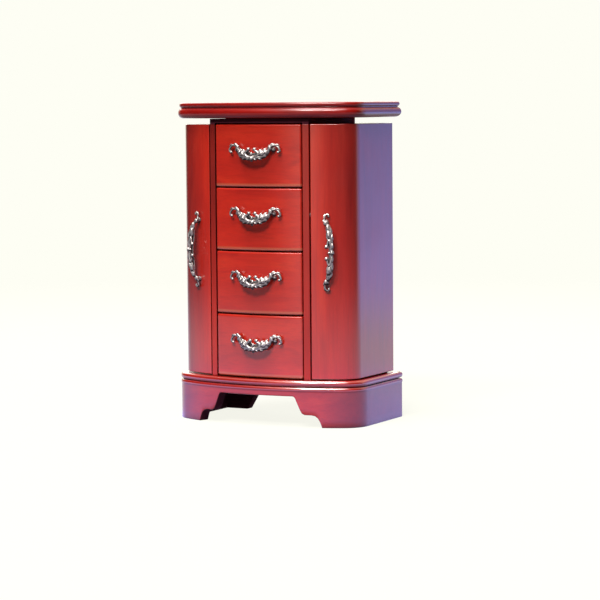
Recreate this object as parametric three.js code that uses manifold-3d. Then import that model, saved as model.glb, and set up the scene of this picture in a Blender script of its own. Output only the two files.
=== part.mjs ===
// Tabletop jewelry armoire: a bow-fronted centre column with four drawers and a lift lid, two swing-out
// wing doors for necklaces, and a bracket base. Millimetres, +Z up, front towards -Y, floor at z = 0.
import * as THREE from 'three';
import { mergeVertices } from 'three/addons/utils/BufferGeometryUtils.js';
import Module from 'manifold-3d';

const wasm = await Module();
wasm.setup();

// Plan of the body: one smooth bow across the column and both wings, then a rounded corner
const bodyHalfWidth = 122;   // outer face of each wing
const bodyDepth = 137;       // crown of the bow to the rear face
const bowRadius = 280;       // column front
const wingRadius = 200;      // wing door fronts
const cornerRadius = 24;     // front outer corners
const doorEdgeX = 71;        // inner edge of each wing door, where the bow tightens
const edgeOverhang = 9;      // base and lid beyond the body at the front and sides
const rearOverhang = 7;      // base and lid beyond the rear face
const bowSteps = 10;
const wingSteps = 5;
const cornerSteps = 6;
const beadSteps = 3;

// Heights
const apronHeight = 50;
const plinthTopThickness = 8;
const wingHeight = 315;      // base top to the top of the wings
const neckHeight = 7;        // column above the wings
const lidSeatGap = 0.5;
const lidThickness = 19.5;

// Base
const apronThickness = 14;
const apronInset = 0.5;      // apron face behind the bead above it
const apronBeadHeight = 7;
const footInnerX = 87;       // inner end of each front foot at the floor
const footStepRise = 15.5;
const footCurveX = 84;       // point on the curve between the floor and the step
const footCurveRise = 11;
const footStepInX = 75;
const footStepOutX = 63;
const archInX = 53;
const archHeight = 38.5;
const rearArchInX = 64;

// Boards
const columnSideThickness = 8;
const columnGap = 1.5;       // column side to wing door
const backThickness = 7;
const shelfThickness = 6;
const doorThickness = 8;
const doorCapThickness = 6;
const doorFloorGap = 1.25;
const gluedGap = 0.3;        // between curved glued faces
const edgeFlat = 0.5;        // flat band left at the middle of a rounded edge

// Drawers
const drawerCount = 4;
const drawerGap = 1.5;       // between drawer fronts
const drawerFrontSideGap = 1.25;
const drawerFrontDepth = 19; // crown of the bow to the flat back of the front
const drawerEdgeRound = 2;
const drawerBoxSideGap = 1;
const drawerRunGap = 0.5;    // box above its shelf
const drawerHeadroom = 2;
const drawerRearGap = 4;
const drawerWall = 5;
const drawerFloorThickness = 4;
const shelfFrontGap = 0.75;  // shelf edge behind the drawer front

// Tray under the lid
const trayDepth = 26;
const trayFloorThickness = 4;
const trayRailThickness = 5;
const trayDividerThickness = 4;
const trayDividerDrop = 4;   // divider top below the rim
const trayDividerX = 8;
const cushionClearance = 0.5;
const cushionRolls = 6;
const cushionHeight = 19;
const cushionBaseHeight = 9;
const rollSteps = 6;

// Lid
const lidLowerBead = 13.5;
const lidUpperInset = 2;
const lidBeadLap = 0.75;
const lidCoreInset = 3.5;
const mirrorThickness = 2.5;
const mirrorRebateDepth = 3;
const mirrorGap = 0.3;
const mirrorHalfWidth = 54;
const mirrorFrontMargin = 24;  // crown of the bow to the mirror
const mirrorRearMargin = 16;

// Butt hinges
const knuckleRadius = 2.25;
const pinRadius = 1.1;
const pinClearance = 0.08;
const knuckleEnd = 7;
const knuckleMiddle = 9;
const knuckleGap = 0.25;
const hingeLeafThickness = 1;
const doorSeam = 0.5;          // door side panel to the end of the back panel
const fixedLeafWidth = 14;
const doorLeafWidth = 7;
const lidLeafWidth = 14;
const leafMortiseGap = 0.3;
const leafKnuckleGap = 0.4;
const hingeSides = 12;
const doorHingeInset = 45;     // hinge centre from each end of the door
const lidHingeX = 42;

// Magnetic catches
const magnetRadius = 2.5;
const magnetDepth = 3;
const magnetGap = 0.15;
const strikeThickness = 0.75;
const strikeRadius = 3;
const magnetHeight = 262;      // above the floor
const discSides = 12;

// Cast pulls
const pullReach = 12.5;
const pullBarRadius = 2.6;
const pullBarSides = 6;
const pullBarSteps = 14;
const pullShoulder = { along: 0.82, reach: 0.7 };   // where the bar turns out, as shares of foot and reach
const pullDip = { along: 0.45, droop: 0.72 };       // where it starts to droop
const pullFootInset = 12;
const pullFootRadius = 2.8;
const pullStudRadius = 1.6;
const pullStudDepth = 6;
const pullHoleGap = 0.3;
const studSides = 8;
const pullSeatGap = 0.1;
const pullScrollRadius = 4.2;
const pullScrollWire = 1.8;
const pullLeafHeight = 5.4;
const pullLeafThickness = 2.7;
const pullLeafLength = 0.14;   // half length, as a share of the pull
const sideLeaf = { along: 0.5, reach: 0.97, droop: 0.75, length: 0.12, thickness: 0.9, height: 0.75 };
const pullLift = 5.5;          // pull's eye line above the middle of a drawer front
const drawerPullLength = 74;
const drawerPullDroop = 8.5;
const doorPullLength = 98;
const doorPullDroop = 4;
const doorPullX = 92;
const doorPullHeight = 216;    // centre above the floor

// Necklace hooks and pouch inside each door
const hookCount = 4;
const hookReach = 13;
const hookStraight = 8;        // length of wire before the hook turns up
const hookRoot = 0.5;          // wire let into the strip
const hookSag = 1;
const hookRise = 6;
const hookWire = 1.2;
const hookSides = 5;
const hookSteps = 5;
const hookBallRadius = 1.9;
const hookStripThickness = 1.5;
const hookStripHeight = 9;
const hookStripMargin = 8;
const hookStripDrop = 34;      // strip centre below the door top
const hookStripEndGap = 4.5;   // strip to each end of the flat side panel
const pouchReach = 26;
const pouchBulge = 5;
const pouchEndGap = 6.5;       // pouch to each end of the flat side panel
const pouchHeight = 62;
const pouchShoulder = 50;      // heights of the points that shape its belly
const pouchBelly = 22;
const pouchHem = 7.5;
const pouchWall = 2;
const pouchLift = 6;           // pouch bottom above the door floor

// Worked-out heights
const baseHeight = apronHeight + plinthTopThickness;
const wingTop = baseHeight + wingHeight;
const columnTop = wingTop + neckHeight;
const lidBottom = columnTop + lidSeatGap;
const drawerPitch = wingHeight / drawerCount;
const trayFloorTop = columnTop - trayDepth;
const doorBottom = baseHeight + doorFloorGap;

// Worked-out plan: the overall depth, pulls included, is centred on y = 0
const pullFootX = drawerPullLength / 2 - pullFootInset;
const footSag = bowRadius - Math.sqrt(bowRadius ** 2 - (pullFootX - pullFootRadius) ** 2);
const pullProud = pullReach + pullSeatGap - footSag;
const frontY = -(bodyDepth + rearOverhang - pullProud) / 2;
const rearY = frontY + bodyDepth;
const rearEdgeY = rearY + rearOverhang;
const backInnerY = rearY - backThickness;
const columnOuterX = doorEdgeX - columnGap;
const columnInnerX = columnOuterX - columnSideThickness;
const drawerFlatY = frontY + drawerFrontDepth;
const shelfFrontY = drawerFlatY + shelfFrontGap;
const doorInnerX = bodyHalfWidth - doorThickness;

// Centres of the plan's arcs
const down = -Math.PI / 2;
const bowCentre = new THREE.Vector2(0, frontY + bowRadius);
const bowHalfAngle = Math.asin(doorEdgeX / bowRadius);
const wingCentre = new THREE.Vector2(
  (bowRadius - wingRadius) * Math.sin(bowHalfAngle),
  bowCentre.y - (bowRadius - wingRadius) * Math.cos(bowHalfAngle),
);
const cornerX = bodyHalfWidth - cornerRadius;
const cornerCentre = new THREE.Vector2(
  cornerX,
  wingCentre.y - Math.sqrt((wingRadius - cornerRadius) ** 2 - (cornerX - wingCentre.x) ** 2),
);
const wingEndAngle = Math.atan2(cornerX - wingCentre.x, wingCentre.y - cornerCentre.y);

// The flat of each wing's side panel, between the corner's curve and the back panel
const sidePanelLength = backInnerY - cornerCentre.y;
const sidePanelMiddle = (backInnerY + cornerCentre.y) / 2;

const cherry = { color: 0xa8321f, roughness: 0.28, metalness: 0 };
const drawerWood = { color: 0xb9854f, roughness: 0.6, metalness: 0 };
const pewter = { color: 0xb9b4ae, roughness: 0.35, metalness: 1 };
const brass = { color: 0xc9a24a, roughness: 0.35, metalness: 1 };
const steel = { color: 0x9a9a9c, roughness: 0.4, metalness: 1 };
const mirrorGlass = { color: 0xdfe6ea, roughness: 0.03, metalness: 1 };
const velvet = { color: 0x4a1420, roughness: 0.95, metalness: 0 };

// --- joining and placing -------------------------------------------------------------------------

// Turns a closed geometry into a solid that can be joined and cut
function solid(geometry) {
  const bare = geometry.clone();
  bare.deleteAttribute('normal');
  bare.deleteAttribute('uv');
  const merged = mergeVertices(bare, 1e-4);
  return new wasm.Manifold(new wasm.Mesh({
    numProp: 3,
    vertProperties: new Float32Array(merged.attributes.position.array),
    triVerts: new Uint32Array(merged.index.array),
  }));
}

function geometryOf(manifold) {
  const mesh = manifold.getMesh();
  const geometry = new THREE.BufferGeometry();
  geometry.setAttribute('position', new THREE.BufferAttribute(mesh.vertProperties, 3));
  geometry.setIndex(new THREE.BufferAttribute(mesh.triVerts, 1));
  return geometry;
}

function union(...solids) {
  return solids.reduce((whole, next) => whole.add(next));
}

function cut(body, ...tools) {
  return tools.reduce((rest, tool) => rest.subtract(tool), body);
}

// One named piece of the object from a solid or a geometry
function piece(name, shape, finish) {
  const geometry = shape.isBufferGeometry ? shape : geometryOf(shape);
  const mesh = new THREE.Mesh(geometry, new THREE.MeshStandardMaterial(finish));
  mesh.name = name;
  return mesh;
}

// The mirror image across x = 0, with its faces still pointing out
function mirrored(manifold) {
  const geometry = geometryOf(manifold);
  geometry.scale(-1, 1, 1);
  const index = geometry.index.array;
  for (let i = 0; i < index.length; i += 3) {
    [index[i + 1], index[i + 2]] = [index[i + 2], index[i + 1]];
  }
  return solid(geometry);
}

// --- basic shapes --------------------------------------------------------------------------------

function box(low, high) {
  const size = high.map((value, i) => value - low[i]);
  const geometry = new THREE.BoxGeometry(...size);
  geometry.translate(...low.map((value, i) => value + size[i] / 2));
  return geometry;
}

function boxSolid(low, high) {
  return solid(box(low, high));
}

function arc(centre, radius, from, to, steps) {
  return new THREE.EllipseCurve(centre.x, centre.y, radius, radius, from, to, to < from).getPoints(steps);
}

function point(x, y) {
  return [new THREE.Vector2(x, y)];
}

// Joins stretches of points into one closed shape, once for each place where two of them meet
function outline(...stretches) {
  const points = [];
  for (const next of stretches.flat()) {
    if (!points.length || next.distanceTo(points.at(-1)) > 1e-6) points.push(next);
  }
  return new THREE.Shape(points);
}

function extrudeUp(shape, low, high) {
  const geometry = new THREE.ExtrudeGeometry(shape, { depth: high - low, bevelEnabled: false });
  geometry.translate(0, 0, low);
  return geometry;
}

// A shape drawn in x and z, extruded from the front face to the rear face
function extrudeBack(shape, front, rear) {
  const geometry = new THREE.ExtrudeGeometry(shape, { depth: rear - front, bevelEnabled: false });
  geometry.rotateX(Math.PI / 2);
  geometry.translate(0, rear, 0);
  return geometry;
}

// A flat board whose edge is rounded all round by the given radius
function roundedBoard(shape, low, high, radius, steps) {
  const geometry = new THREE.ExtrudeGeometry(shape, {
    depth: high - low - 2 * radius,
    bevelThickness: radius,
    bevelSize: radius,
    bevelOffset: -radius,
    bevelSegments: steps,
  });
  geometry.translate(0, 0, low + radius);
  return solid(geometry);
}

function beadBoard(shape, low, high) {
  return roundedBoard(shape, low, high, (high - low - edgeFlat) / 2, beadSteps);
}

function cylinderZ(radius, low, high, sides) {
  const geometry = new THREE.CylinderGeometry(radius, radius, high - low, sides);
  geometry.rotateX(Math.PI / 2);
  geometry.translate(0, 0, (low + high) / 2);
  return geometry;
}

function cylinderY(radius, low, high, sides) {
  const geometry = new THREE.CylinderGeometry(radius, radius, high - low, sides);
  geometry.translate(0, (low + high) / 2, 0);
  return geometry;
}

function cylinderX(radius, low, high, sides) {
  const geometry = new THREE.CylinderGeometry(radius, radius, high - low, sides);
  geometry.rotateZ(Math.PI / 2);
  geometry.translate((low + high) / 2, 0, 0);
  return geometry;
}

function ellipsoid(centre, radii) {
  const geometry = new THREE.SphereGeometry(1, 8, 5);
  geometry.scale(...radii);
  geometry.translate(...centre);
  return solid(geometry);
}

function tubeAlong(points, radius, sides, steps) {
  const section = new THREE.Shape(arc(new THREE.Vector2(), radius, 0, 2 * Math.PI, sides).slice(0, -1));
  const extrudePath = new THREE.CatmullRomCurve3(points.map((p) => new THREE.Vector3(...p)));
  return solid(new THREE.ExtrudeGeometry(section, { steps, extrudePath, bevelEnabled: false }));
}

// --- plan outlines -------------------------------------------------------------------------------

// The whole plan, grown by offset at the front and sides and ending at the given rear line
function bodyPlan(offset, rear) {
  const side = bodyHalfWidth + offset;
  const leftWing = new THREE.Vector2(-wingCentre.x, wingCentre.y);
  const leftCorner = new THREE.Vector2(-cornerCentre.x, cornerCentre.y);
  return outline(
    point(-side, rear),
    arc(leftCorner, cornerRadius + offset, -Math.PI, down - wingEndAngle, cornerSteps),
    arc(leftWing, wingRadius + offset, down - wingEndAngle, down - bowHalfAngle, wingSteps),
    arc(bowCentre, bowRadius + offset, down - bowHalfAngle, down + bowHalfAngle, bowSteps),
    arc(wingCentre, wingRadius + offset, down + bowHalfAngle, down + wingEndAngle, wingSteps),
    arc(cornerCentre, cornerRadius + offset, down + wingEndAngle, 0, cornerSteps),
    point(side, rear),
  );
}

// The angle at which a wing arc of the given radius crosses x
function wingAngle(radius, x) {
  return down + Math.asin((x - wingCentre.x) / radius);
}

// Front and corner arcs of the right wing, from x to the side panel
function wingEdge(offset, x) {
  const radius = wingRadius + offset;
  return [
    ...arc(wingCentre, radius, wingAngle(radius, x), down + wingEndAngle, wingSteps),
    ...arc(cornerCentre, cornerRadius + offset, down + wingEndAngle, 0, cornerSteps),
  ];
}

// A strip of the column: bowed in front, flat behind
function columnPlan(halfWidth, rear) {
  const halfAngle = Math.asin(halfWidth / bowRadius);
  return outline(
    point(-halfWidth, rear),
    arc(bowCentre, bowRadius, down - halfAngle, down + halfAngle, bowSteps),
    point(halfWidth, rear),
  );
}

// --- base ----------------------------------------------------------------------------------------

// Cut-out of the front apron: a step at each foot, then a sloping rise to the arch
function frontArch() {
  const profile = [
    [footInnerX, -1], [footInnerX, 0], [footCurveX, footCurveRise], [footStepInX, footStepRise],
    [footStepOutX, footStepRise], [archInX, archHeight],
  ];
  const right = profile.map(([x, z]) => new THREE.Vector2(x, z));
  const left = profile.map(([x, z]) => new THREE.Vector2(-x, z)).reverse();
  return new THREE.Shape([...right, ...left]);
}

function rearArch() {
  return new THREE.Shape([
    ...point(-footInnerX, -1), ...point(footInnerX, -1), ...point(footInnerX, 0),
    ...point(rearArchInX, archHeight), ...point(-rearArchInX, archHeight), ...point(-footInnerX, 0),
  ]);
}

function apronRing() {
  const face = edgeOverhang - apronInset;
  const inner = face - apronThickness;
  const beadLow = apronHeight - apronBeadHeight;
  const outer = union(
    solid(extrudeUp(bodyPlan(face, rearEdgeY - apronInset), 0, apronHeight)),
    beadBoard(bodyPlan(edgeOverhang, rearEdgeY), beadLow, apronHeight),
  );
  const hollow = bodyPlan(inner, rearEdgeY - apronInset - apronThickness);
  return cut(
    outer,
    solid(extrudeUp(hollow, -1, apronHeight + 1)),
    solid(extrudeBack(frontArch(), frontY - 2 * edgeOverhang, 0)),
    solid(extrudeBack(rearArch(), 0, rearEdgeY + edgeOverhang)),
  );
}

function base() {
  const group = new THREE.Group();
  const ring = apronRing();
  const far = 2 * bodyHalfWidth;
  const innerX = bodyHalfWidth + edgeOverhang - apronInset - apronThickness;
  const top = apronHeight + 1;
  const front = ring.intersect(boxSolid([-far, -far, -1], [far, cornerCentre.y, top]));
  const sideRight = ring.intersect(boxSolid([innerX, cornerCentre.y, -1], [far, far, top]));
  const rear = ring.intersect(boxSolid([-innerX, 0, -1], [innerX, far, top]));
  group.add(
    piece('base_front', front, cherry),
    piece('base_side_right', sideRight, cherry),
    piece('base_side_left', mirrored(sideRight), cherry),
    piece('base_back', rear, cherry),
    piece('base_top', beadBoard(bodyPlan(edgeOverhang, rearEdgeY), apronHeight, baseHeight), cherry),
  );
  return group;
}

// --- butt hinges: axis along z, leaf towards +x, mounting face at y = -knuckleRadius ----------------

const hingeHeight = 2 * knuckleEnd + knuckleMiddle + 2 * knuckleGap;

function hingeLeaf(width, zones) {
  const half = hingeHeight / 2;
  const start = knuckleRadius + leafKnuckleGap;
  const back = -knuckleRadius + hingeLeafThickness;
  const plate = boxSolid([start, -knuckleRadius, -half], [width, back, half]);
  const tabs = zones.map(([low, high]) => boxSolid([0, -knuckleRadius, low], [start + 1, back, high]));
  return union(plate, ...tabs);
}

// Leaf with the two end knuckles and the pin
function hingeFixed(width) {
  const half = hingeHeight / 2;
  const zones = [[-half, -half + knuckleEnd], [half - knuckleEnd, half]];
  const knuckles = zones.map(([low, high]) => solid(cylinderZ(knuckleRadius, low, high, hingeSides)));
  return union(hingeLeaf(width, zones), ...knuckles, solid(cylinderZ(pinRadius, -half, half, hingeSides)));
}

// Leaf with the middle knuckle, bored for the pin
function hingeMoving(width) {
  const zone = [-knuckleMiddle / 2, knuckleMiddle / 2];
  const knuckle = solid(cylinderZ(knuckleRadius, ...zone, hingeSides));
  const bore = solid(cylinderZ(pinRadius + pinClearance, -hingeHeight, hingeHeight, hingeSides));
  return cut(union(hingeLeaf(width, [zone]), knuckle), bore);
}

const doorHingeX = doorInnerX - doorSeam / 2;
const doorHingeHeights = [
  ['lower', doorBottom + doorHingeInset],
  ['upper', wingTop - doorHingeInset],
];

function doorHinges(side) {
  const group = new THREE.Group();
  const sign = side === 'right' ? 1 : -1;
  const handed = (shape) => (side === 'right' ? shape : mirrored(shape));
  for (const [level, height] of doorHingeHeights) {
    const fixed = piece(`door_${side}_hinge_${level}_fixed`,
      handed(mirrored(hingeFixed(fixedLeafWidth))), brass);
    const moving = piece(`door_${side}_hinge_${level}_leaf`, handed(hingeMoving(doorLeafWidth)), brass);
    for (const half of [fixed, moving]) half.position.set(sign * doorHingeX, rearY + knuckleRadius, height);
    group.add(fixed, moving);
  }
  return group;
}

function lidHinges() {
  const group = new THREE.Group();
  const axisHeight = columnTop + lidSeatGap / 2;
  for (const [side, sign] of [['left', -1], ['right', 1]]) {
    const hinge = new THREE.Group();
    hinge.position.set(sign * lidHingeX, rearY + knuckleRadius, axisHeight);
    const fixed = piece(`lid_hinge_${side}_fixed`, hingeFixed(lidLeafWidth), brass);
    fixed.rotation.set(0, Math.PI / 2, 0);      // axis to x, leaf hanging down the rear face
    const moving = piece(`lid_hinge_${side}_leaf`, hingeMoving(lidLeafWidth), brass);
    moving.rotation.set(-Math.PI / 2, Math.PI / 2, 0); // leaf forward, face up under the lid
    hinge.add(fixed, moving);
    group.add(hinge);
  }
  return group;
}

// --- column --------------------------------------------------------------------------------------

function bowY(x) {
  return bowCentre.y - Math.sqrt(bowRadius ** 2 - x ** 2);
}

function columnSide() {
  const plan = new THREE.Shape([
    ...point(columnInnerX, backInnerY), ...point(columnInnerX, bowY(columnInnerX)),
    ...point(columnOuterX, bowY(columnOuterX)), ...point(columnOuterX, backInnerY),
  ]);
  return solid(extrudeUp(plan, baseHeight, columnTop));
}

function backPanel() {
  const wingX = doorInnerX - doorSeam;
  const panel = new THREE.Shape([
    ...point(-wingX, baseHeight), ...point(wingX, baseHeight), ...point(wingX, wingTop),
    ...point(columnOuterX, wingTop), ...point(columnOuterX, columnTop),
    ...point(-columnOuterX, columnTop), ...point(-columnOuterX, wingTop), ...point(-wingX, wingTop),
  ]);
  return extrudeBack(panel, backInnerY, rearY);
}

// Top of shelf i, counted from the column floor
function shelfTop(i) {
  return baseHeight + drawerGap / 2 + i * drawerPitch + shelfThickness / 2;
}

function shelves() {
  const group = new THREE.Group();
  for (let i = 0; i < drawerCount; i += 1) {
    const bottom = i === 0 ? baseHeight : shelfTop(i) - shelfThickness;
    const board = box([-columnInnerX, shelfFrontY, bottom], [columnInnerX, backInnerY, shelfTop(i)]);
    group.add(piece(`drawer_shelf_${drawerCount - i}`, board, drawerWood));
  }
  return group;
}

function trayRail() {
  const web = boxSolid(
    [-columnInnerX, shelfFrontY, trayFloorTop - trayFloorThickness],
    [columnInnerX, shelfFrontY + trayRailThickness, columnTop],
  );
  const strip = extrudeUp(columnPlan(columnInnerX, shelfFrontY + 1), wingTop + drawerGap, columnTop);
  return union(web, solid(strip));
}

const trayFrontY = shelfFrontY + trayRailThickness;

function tray() {
  const group = new THREE.Group();
  const floor = box(
    [-columnInnerX, trayFrontY, trayFloorTop - trayFloorThickness],
    [columnInnerX, backInnerY, trayFloorTop],
  );
  const divider = box(
    [trayDividerX, trayFrontY, trayFloorTop],
    [trayDividerX + trayDividerThickness, backInnerY, columnTop - trayDividerDrop],
  );
  group.add(
    piece('tray_front_rail', trayRail(), cherry),
    piece('tray_floor', floor, drawerWood),
    piece('tray_divider', divider, drawerWood),
    piece('ring_cushion', ringCushion(), velvet),
  );
  return group;
}

// Soft rolls that grip rings between them: a row of half-round ridges on a flat pad
function ringCushion() {
  const front = trayFrontY + cushionClearance;
  const length = backInnerY - cushionClearance - front;
  const pitch = length / cushionRolls;
  const rise = cushionHeight - cushionBaseHeight;
  const ridges = [];
  for (let i = 0; i < cushionRolls; i += 1) {
    const middle = (i + 0.5) * pitch;
    const ridge = new THREE.EllipseCurve(middle, cushionBaseHeight, pitch / 2, rise, Math.PI, 0, true);
    ridges.push(ridge.getPoints(rollSteps));
  }
  const profile = outline(point(0, 0), ...ridges, point(length, 0));
  const left = -columnInnerX + cushionClearance;
  const width = trayDividerX - cushionClearance - left;
  const geometry = new THREE.ExtrudeGeometry(profile, { depth: width, bevelEnabled: false });
  geometry.rotateX(Math.PI / 2);
  geometry.rotateZ(Math.PI / 2);
  geometry.translate(left, front, trayFloorTop + cushionClearance);
  return geometry;
}

function strike(sign) {
  const disc = cylinderX(strikeRadius, 0, strikeThickness, discSides);
  const mesh = piece(sign > 0 ? 'strike_right' : 'strike_left', disc, steel);
  const y = magnetY();
  mesh.position.set(sign > 0 ? columnOuterX : -columnOuterX - strikeThickness, y, magnetHeight);
  return mesh;
}

function column() {
  const group = new THREE.Group();
  const side = columnSide();
  group.add(
    piece('column_side_right', side, cherry),
    piece('column_side_left', mirrored(side), cherry),
    piece('back_panel', backPanel(), cherry),
    shelves(),
    tray(),
    strike(1),
    strike(-1),
  );
  return group;
}

// --- lid -----------------------------------------------------------------------------------------

// Two rounded beads, the upper one set back, with the mirror rebate and hinge mortises below
function lidBoard() {
  const upperOffset = edgeOverhang - lidUpperInset;
  const lower = beadBoard(bodyPlan(edgeOverhang, rearEdgeY), 0, lidLowerBead);
  const upper = beadBoard(bodyPlan(upperOffset, rearEdgeY - lidUpperInset),
    lidLowerBead - lidBeadLap, lidThickness);
  const core = extrudeUp(bodyPlan(edgeOverhang - lidCoreInset, rearEdgeY - lidCoreInset),
    lidCoreInset, lidThickness - lidCoreInset);
  const rebate = boxSolid(
    [-mirrorHalfWidth - mirrorGap, frontY + mirrorFrontMargin - mirrorGap, -1],
    [mirrorHalfWidth + mirrorGap, rearY - mirrorRearMargin + mirrorGap, mirrorRebateDepth],
  );
  const mortiseDepth = knuckleRadius - lidSeatGap / 2 + leafMortiseGap;
  const mortiseHalf = hingeHeight / 2 + leafMortiseGap;
  const leafEnd = rearY + knuckleRadius - lidLeafWidth - leafMortiseGap;
  const mortises = [-lidHingeX, lidHingeX].map((x) => boxSolid(
    [x - mortiseHalf, leafEnd, -1], [x + mortiseHalf, rearEdgeY + 1, mortiseDepth],
  ));
  return cut(union(lower, upper, solid(core)), rebate, ...mortises);
}

function lid() {
  const group = new THREE.Group();
  const mirror = box(
    [-mirrorHalfWidth, frontY + mirrorFrontMargin, mirrorRebateDepth - mirrorThickness],
    [mirrorHalfWidth, rearY - mirrorRearMargin, mirrorRebateDepth],
  );
  group.add(piece('lid_board', lidBoard(), cherry), piece('lid_mirror', mirror, mirrorGlass));
  group.position.z = lidBottom;
  return group;
}

// --- cast pulls: face at y = 0, reaching towards -y, long along x, drooping towards -z --------------

function castPull(length, droop) {
  const footX = length / 2 - pullFootInset;
  const barY = -(pullReach - pullLeafThickness);
  const rise = pullScrollRadius / 2;
  const scrollX = length / 2 - pullScrollRadius - pullScrollWire;
  const scrollY = -pullScrollWire - 1;
  const halfBar = [
    [footX, scrollY, rise],
    [footX * pullShoulder.along, barY * pullShoulder.reach, 0],
    [footX * pullDip.along, barY, -droop * pullDip.droop],
  ];
  const bar = [...halfBar.map(([x, y, z]) => [-x, y, z]), [0, barY, -droop], ...halfBar.reverse()];
  const solids = [
    tubeAlong(bar, pullBarRadius, pullBarSides, pullBarSteps),
    ellipsoid([0, barY, -droop], [length * pullLeafLength, pullLeafThickness, pullLeafHeight]),
  ];
  const leafRadii = [
    length * sideLeaf.length, pullLeafThickness * sideLeaf.thickness, pullLeafHeight * sideLeaf.height,
  ];
  for (const sign of [-1, 1]) {
    const leafCentre = [sign * footX * sideLeaf.along, barY * sideLeaf.reach, -droop * sideLeaf.droop];
    const scroll = new THREE.TorusGeometry(pullScrollRadius, pullScrollWire, 5, 10);
    scroll.rotateX(Math.PI / 2);
    scroll.translate(sign * scrollX, scrollY, rise);
    const foot = cylinderY(pullFootRadius, scrollY - 1, 0, studSides);
    const stud = cylinderY(pullStudRadius, -1, pullStudDepth, studSides);
    foot.translate(sign * footX, 0, rise);
    stud.translate(sign * footX, 0, rise);
    solids.push(solid(scroll), solid(foot), solid(stud), ellipsoid(leafCentre, leafRadii));
  }
  return union(...solids);
}

// Holes for the studs of a pull, drilled from the face
function studHoles(length) {
  const footX = length / 2 - pullFootInset;
  return [-footX, footX].map((x) => {
    const depth = pullStudDepth + 2 * pullHoleGap;
    const hole = cylinderY(pullStudRadius + pullHoleGap, -pullReach, depth, studSides);
    hole.translate(x, 0, pullScrollRadius / 2);
    return hole;
  });
}

// --- drawers -------------------------------------------------------------------------------------

const drawerFrontHeight = drawerPitch - drawerGap;
const pullFaceY = frontY + footSag - pullSeatGap;

function drawerFront() {
  const plan = columnPlan(columnInnerX - drawerFrontSideGap, drawerFlatY);
  const board = roundedBoard(plan, 0, drawerFrontHeight, drawerEdgeRound, 3);
  const holes = studHoles(drawerPullLength).map((hole) => {
    hole.translate(0, pullFaceY, drawerFrontHeight / 2 + pullLift);
    return solid(hole);
  });
  return cut(board, ...holes);
}

const drawerBoxLift = shelfTop(0) + drawerRunGap - baseHeight - drawerGap;
const drawerBoxHeight = trayFloorTop - trayFloorThickness - shelfTop(drawerCount - 1)
  - drawerRunGap - drawerHeadroom;

function drawerBox() {
  const halfWidth = columnInnerX - drawerBoxSideGap;
  const rear = backInnerY - drawerRearGap;
  const outer = boxSolid([-halfWidth, drawerFlatY, 0], [halfWidth, rear, drawerBoxHeight]);
  const inside = boxSolid(
    [-halfWidth + drawerWall, drawerFlatY + drawerWall, drawerFloorThickness],
    [halfWidth - drawerWall, rear - drawerWall, drawerBoxHeight + 1],
  );
  return cut(outer, inside);
}

function drawers() {
  const group = new THREE.Group();
  const front = drawerFront();
  const tub = drawerBox();
  const pullShape = castPull(drawerPullLength, drawerPullDroop);
  for (let number = 1; number <= drawerCount; number += 1) {
    const drawer = new THREE.Group();
    drawer.position.z = baseHeight + drawerGap + (drawerCount - number) * drawerPitch;
    const tubPiece = piece(`drawer_${number}_box`, tub, drawerWood);
    tubPiece.position.z = drawerBoxLift;
    const pull = piece(`drawer_${number}_pull`, pullShape, pewter);
    pull.position.set(0, pullFaceY, drawerFrontHeight / 2 + pullLift);
    drawer.add(piece(`drawer_${number}_front`, front, cherry), tubPiece, pull);
    group.add(drawer);
  }
  return group;
}

// --- wing doors (drawn for the right side) ----------------------------------------------------------

function magnetY() {
  const outer = wingCentre.y + wingRadius * Math.sin(wingAngle(wingRadius, doorEdgeX));
  const innerRadius = wingRadius - doorThickness;
  const inner = wingCentre.y + innerRadius * Math.sin(wingAngle(innerRadius, doorEdgeX));
  return (outer + inner) / 2;
}

const pullAngle = wingAngle(wingRadius, doorPullX) - down;
const pullPoint = new THREE.Vector3(
  doorPullX + pullSeatGap * Math.sin(pullAngle),
  wingCentre.y - wingRadius * Math.cos(pullAngle) - pullSeatGap * Math.cos(pullAngle),
  doorPullHeight,
);

// Turns a pull's geometry upright, its droop outwards, and sets it on the curve of the wing
function placeOnWing(geometry) {
  geometry.rotateY(down);
  geometry.rotateZ(pullAngle);
  geometry.translate(...pullPoint.toArray());
  return geometry;
}

// Bowed front, rounded corner and flat side in one laminated sheet
function doorShell() {
  const plan = outline(
    wingEdge(0, doorEdgeX),
    point(bodyHalfWidth, rearY),
    point(doorInnerX, rearY),
    wingEdge(-doorThickness, doorEdgeX).reverse(),
  );
  const pocketEnd = doorEdgeX + magnetDepth + magnetGap;
  const pocket = cylinderX(magnetRadius + magnetGap, doorEdgeX - 1, pocketEnd, discSides);
  pocket.translate(0, magnetY(), magnetHeight);
  const holes = studHoles(doorPullLength).map((hole) => solid(placeOnWing(hole)));
  return cut(solid(extrudeUp(plan, doorBottom, wingTop)), solid(pocket), ...holes);
}

// Board that closes the wing at its top or bottom, inside the shell
function doorCap(low, high) {
  const rear = backInnerY - doorSeam;
  const plan = outline(
    wingEdge(-doorThickness - gluedGap, doorEdgeX),
    point(doorInnerX - gluedGap, rear),
    point(doorEdgeX, rear),
  );
  return solid(extrudeUp(plan, low, high));
}

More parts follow.
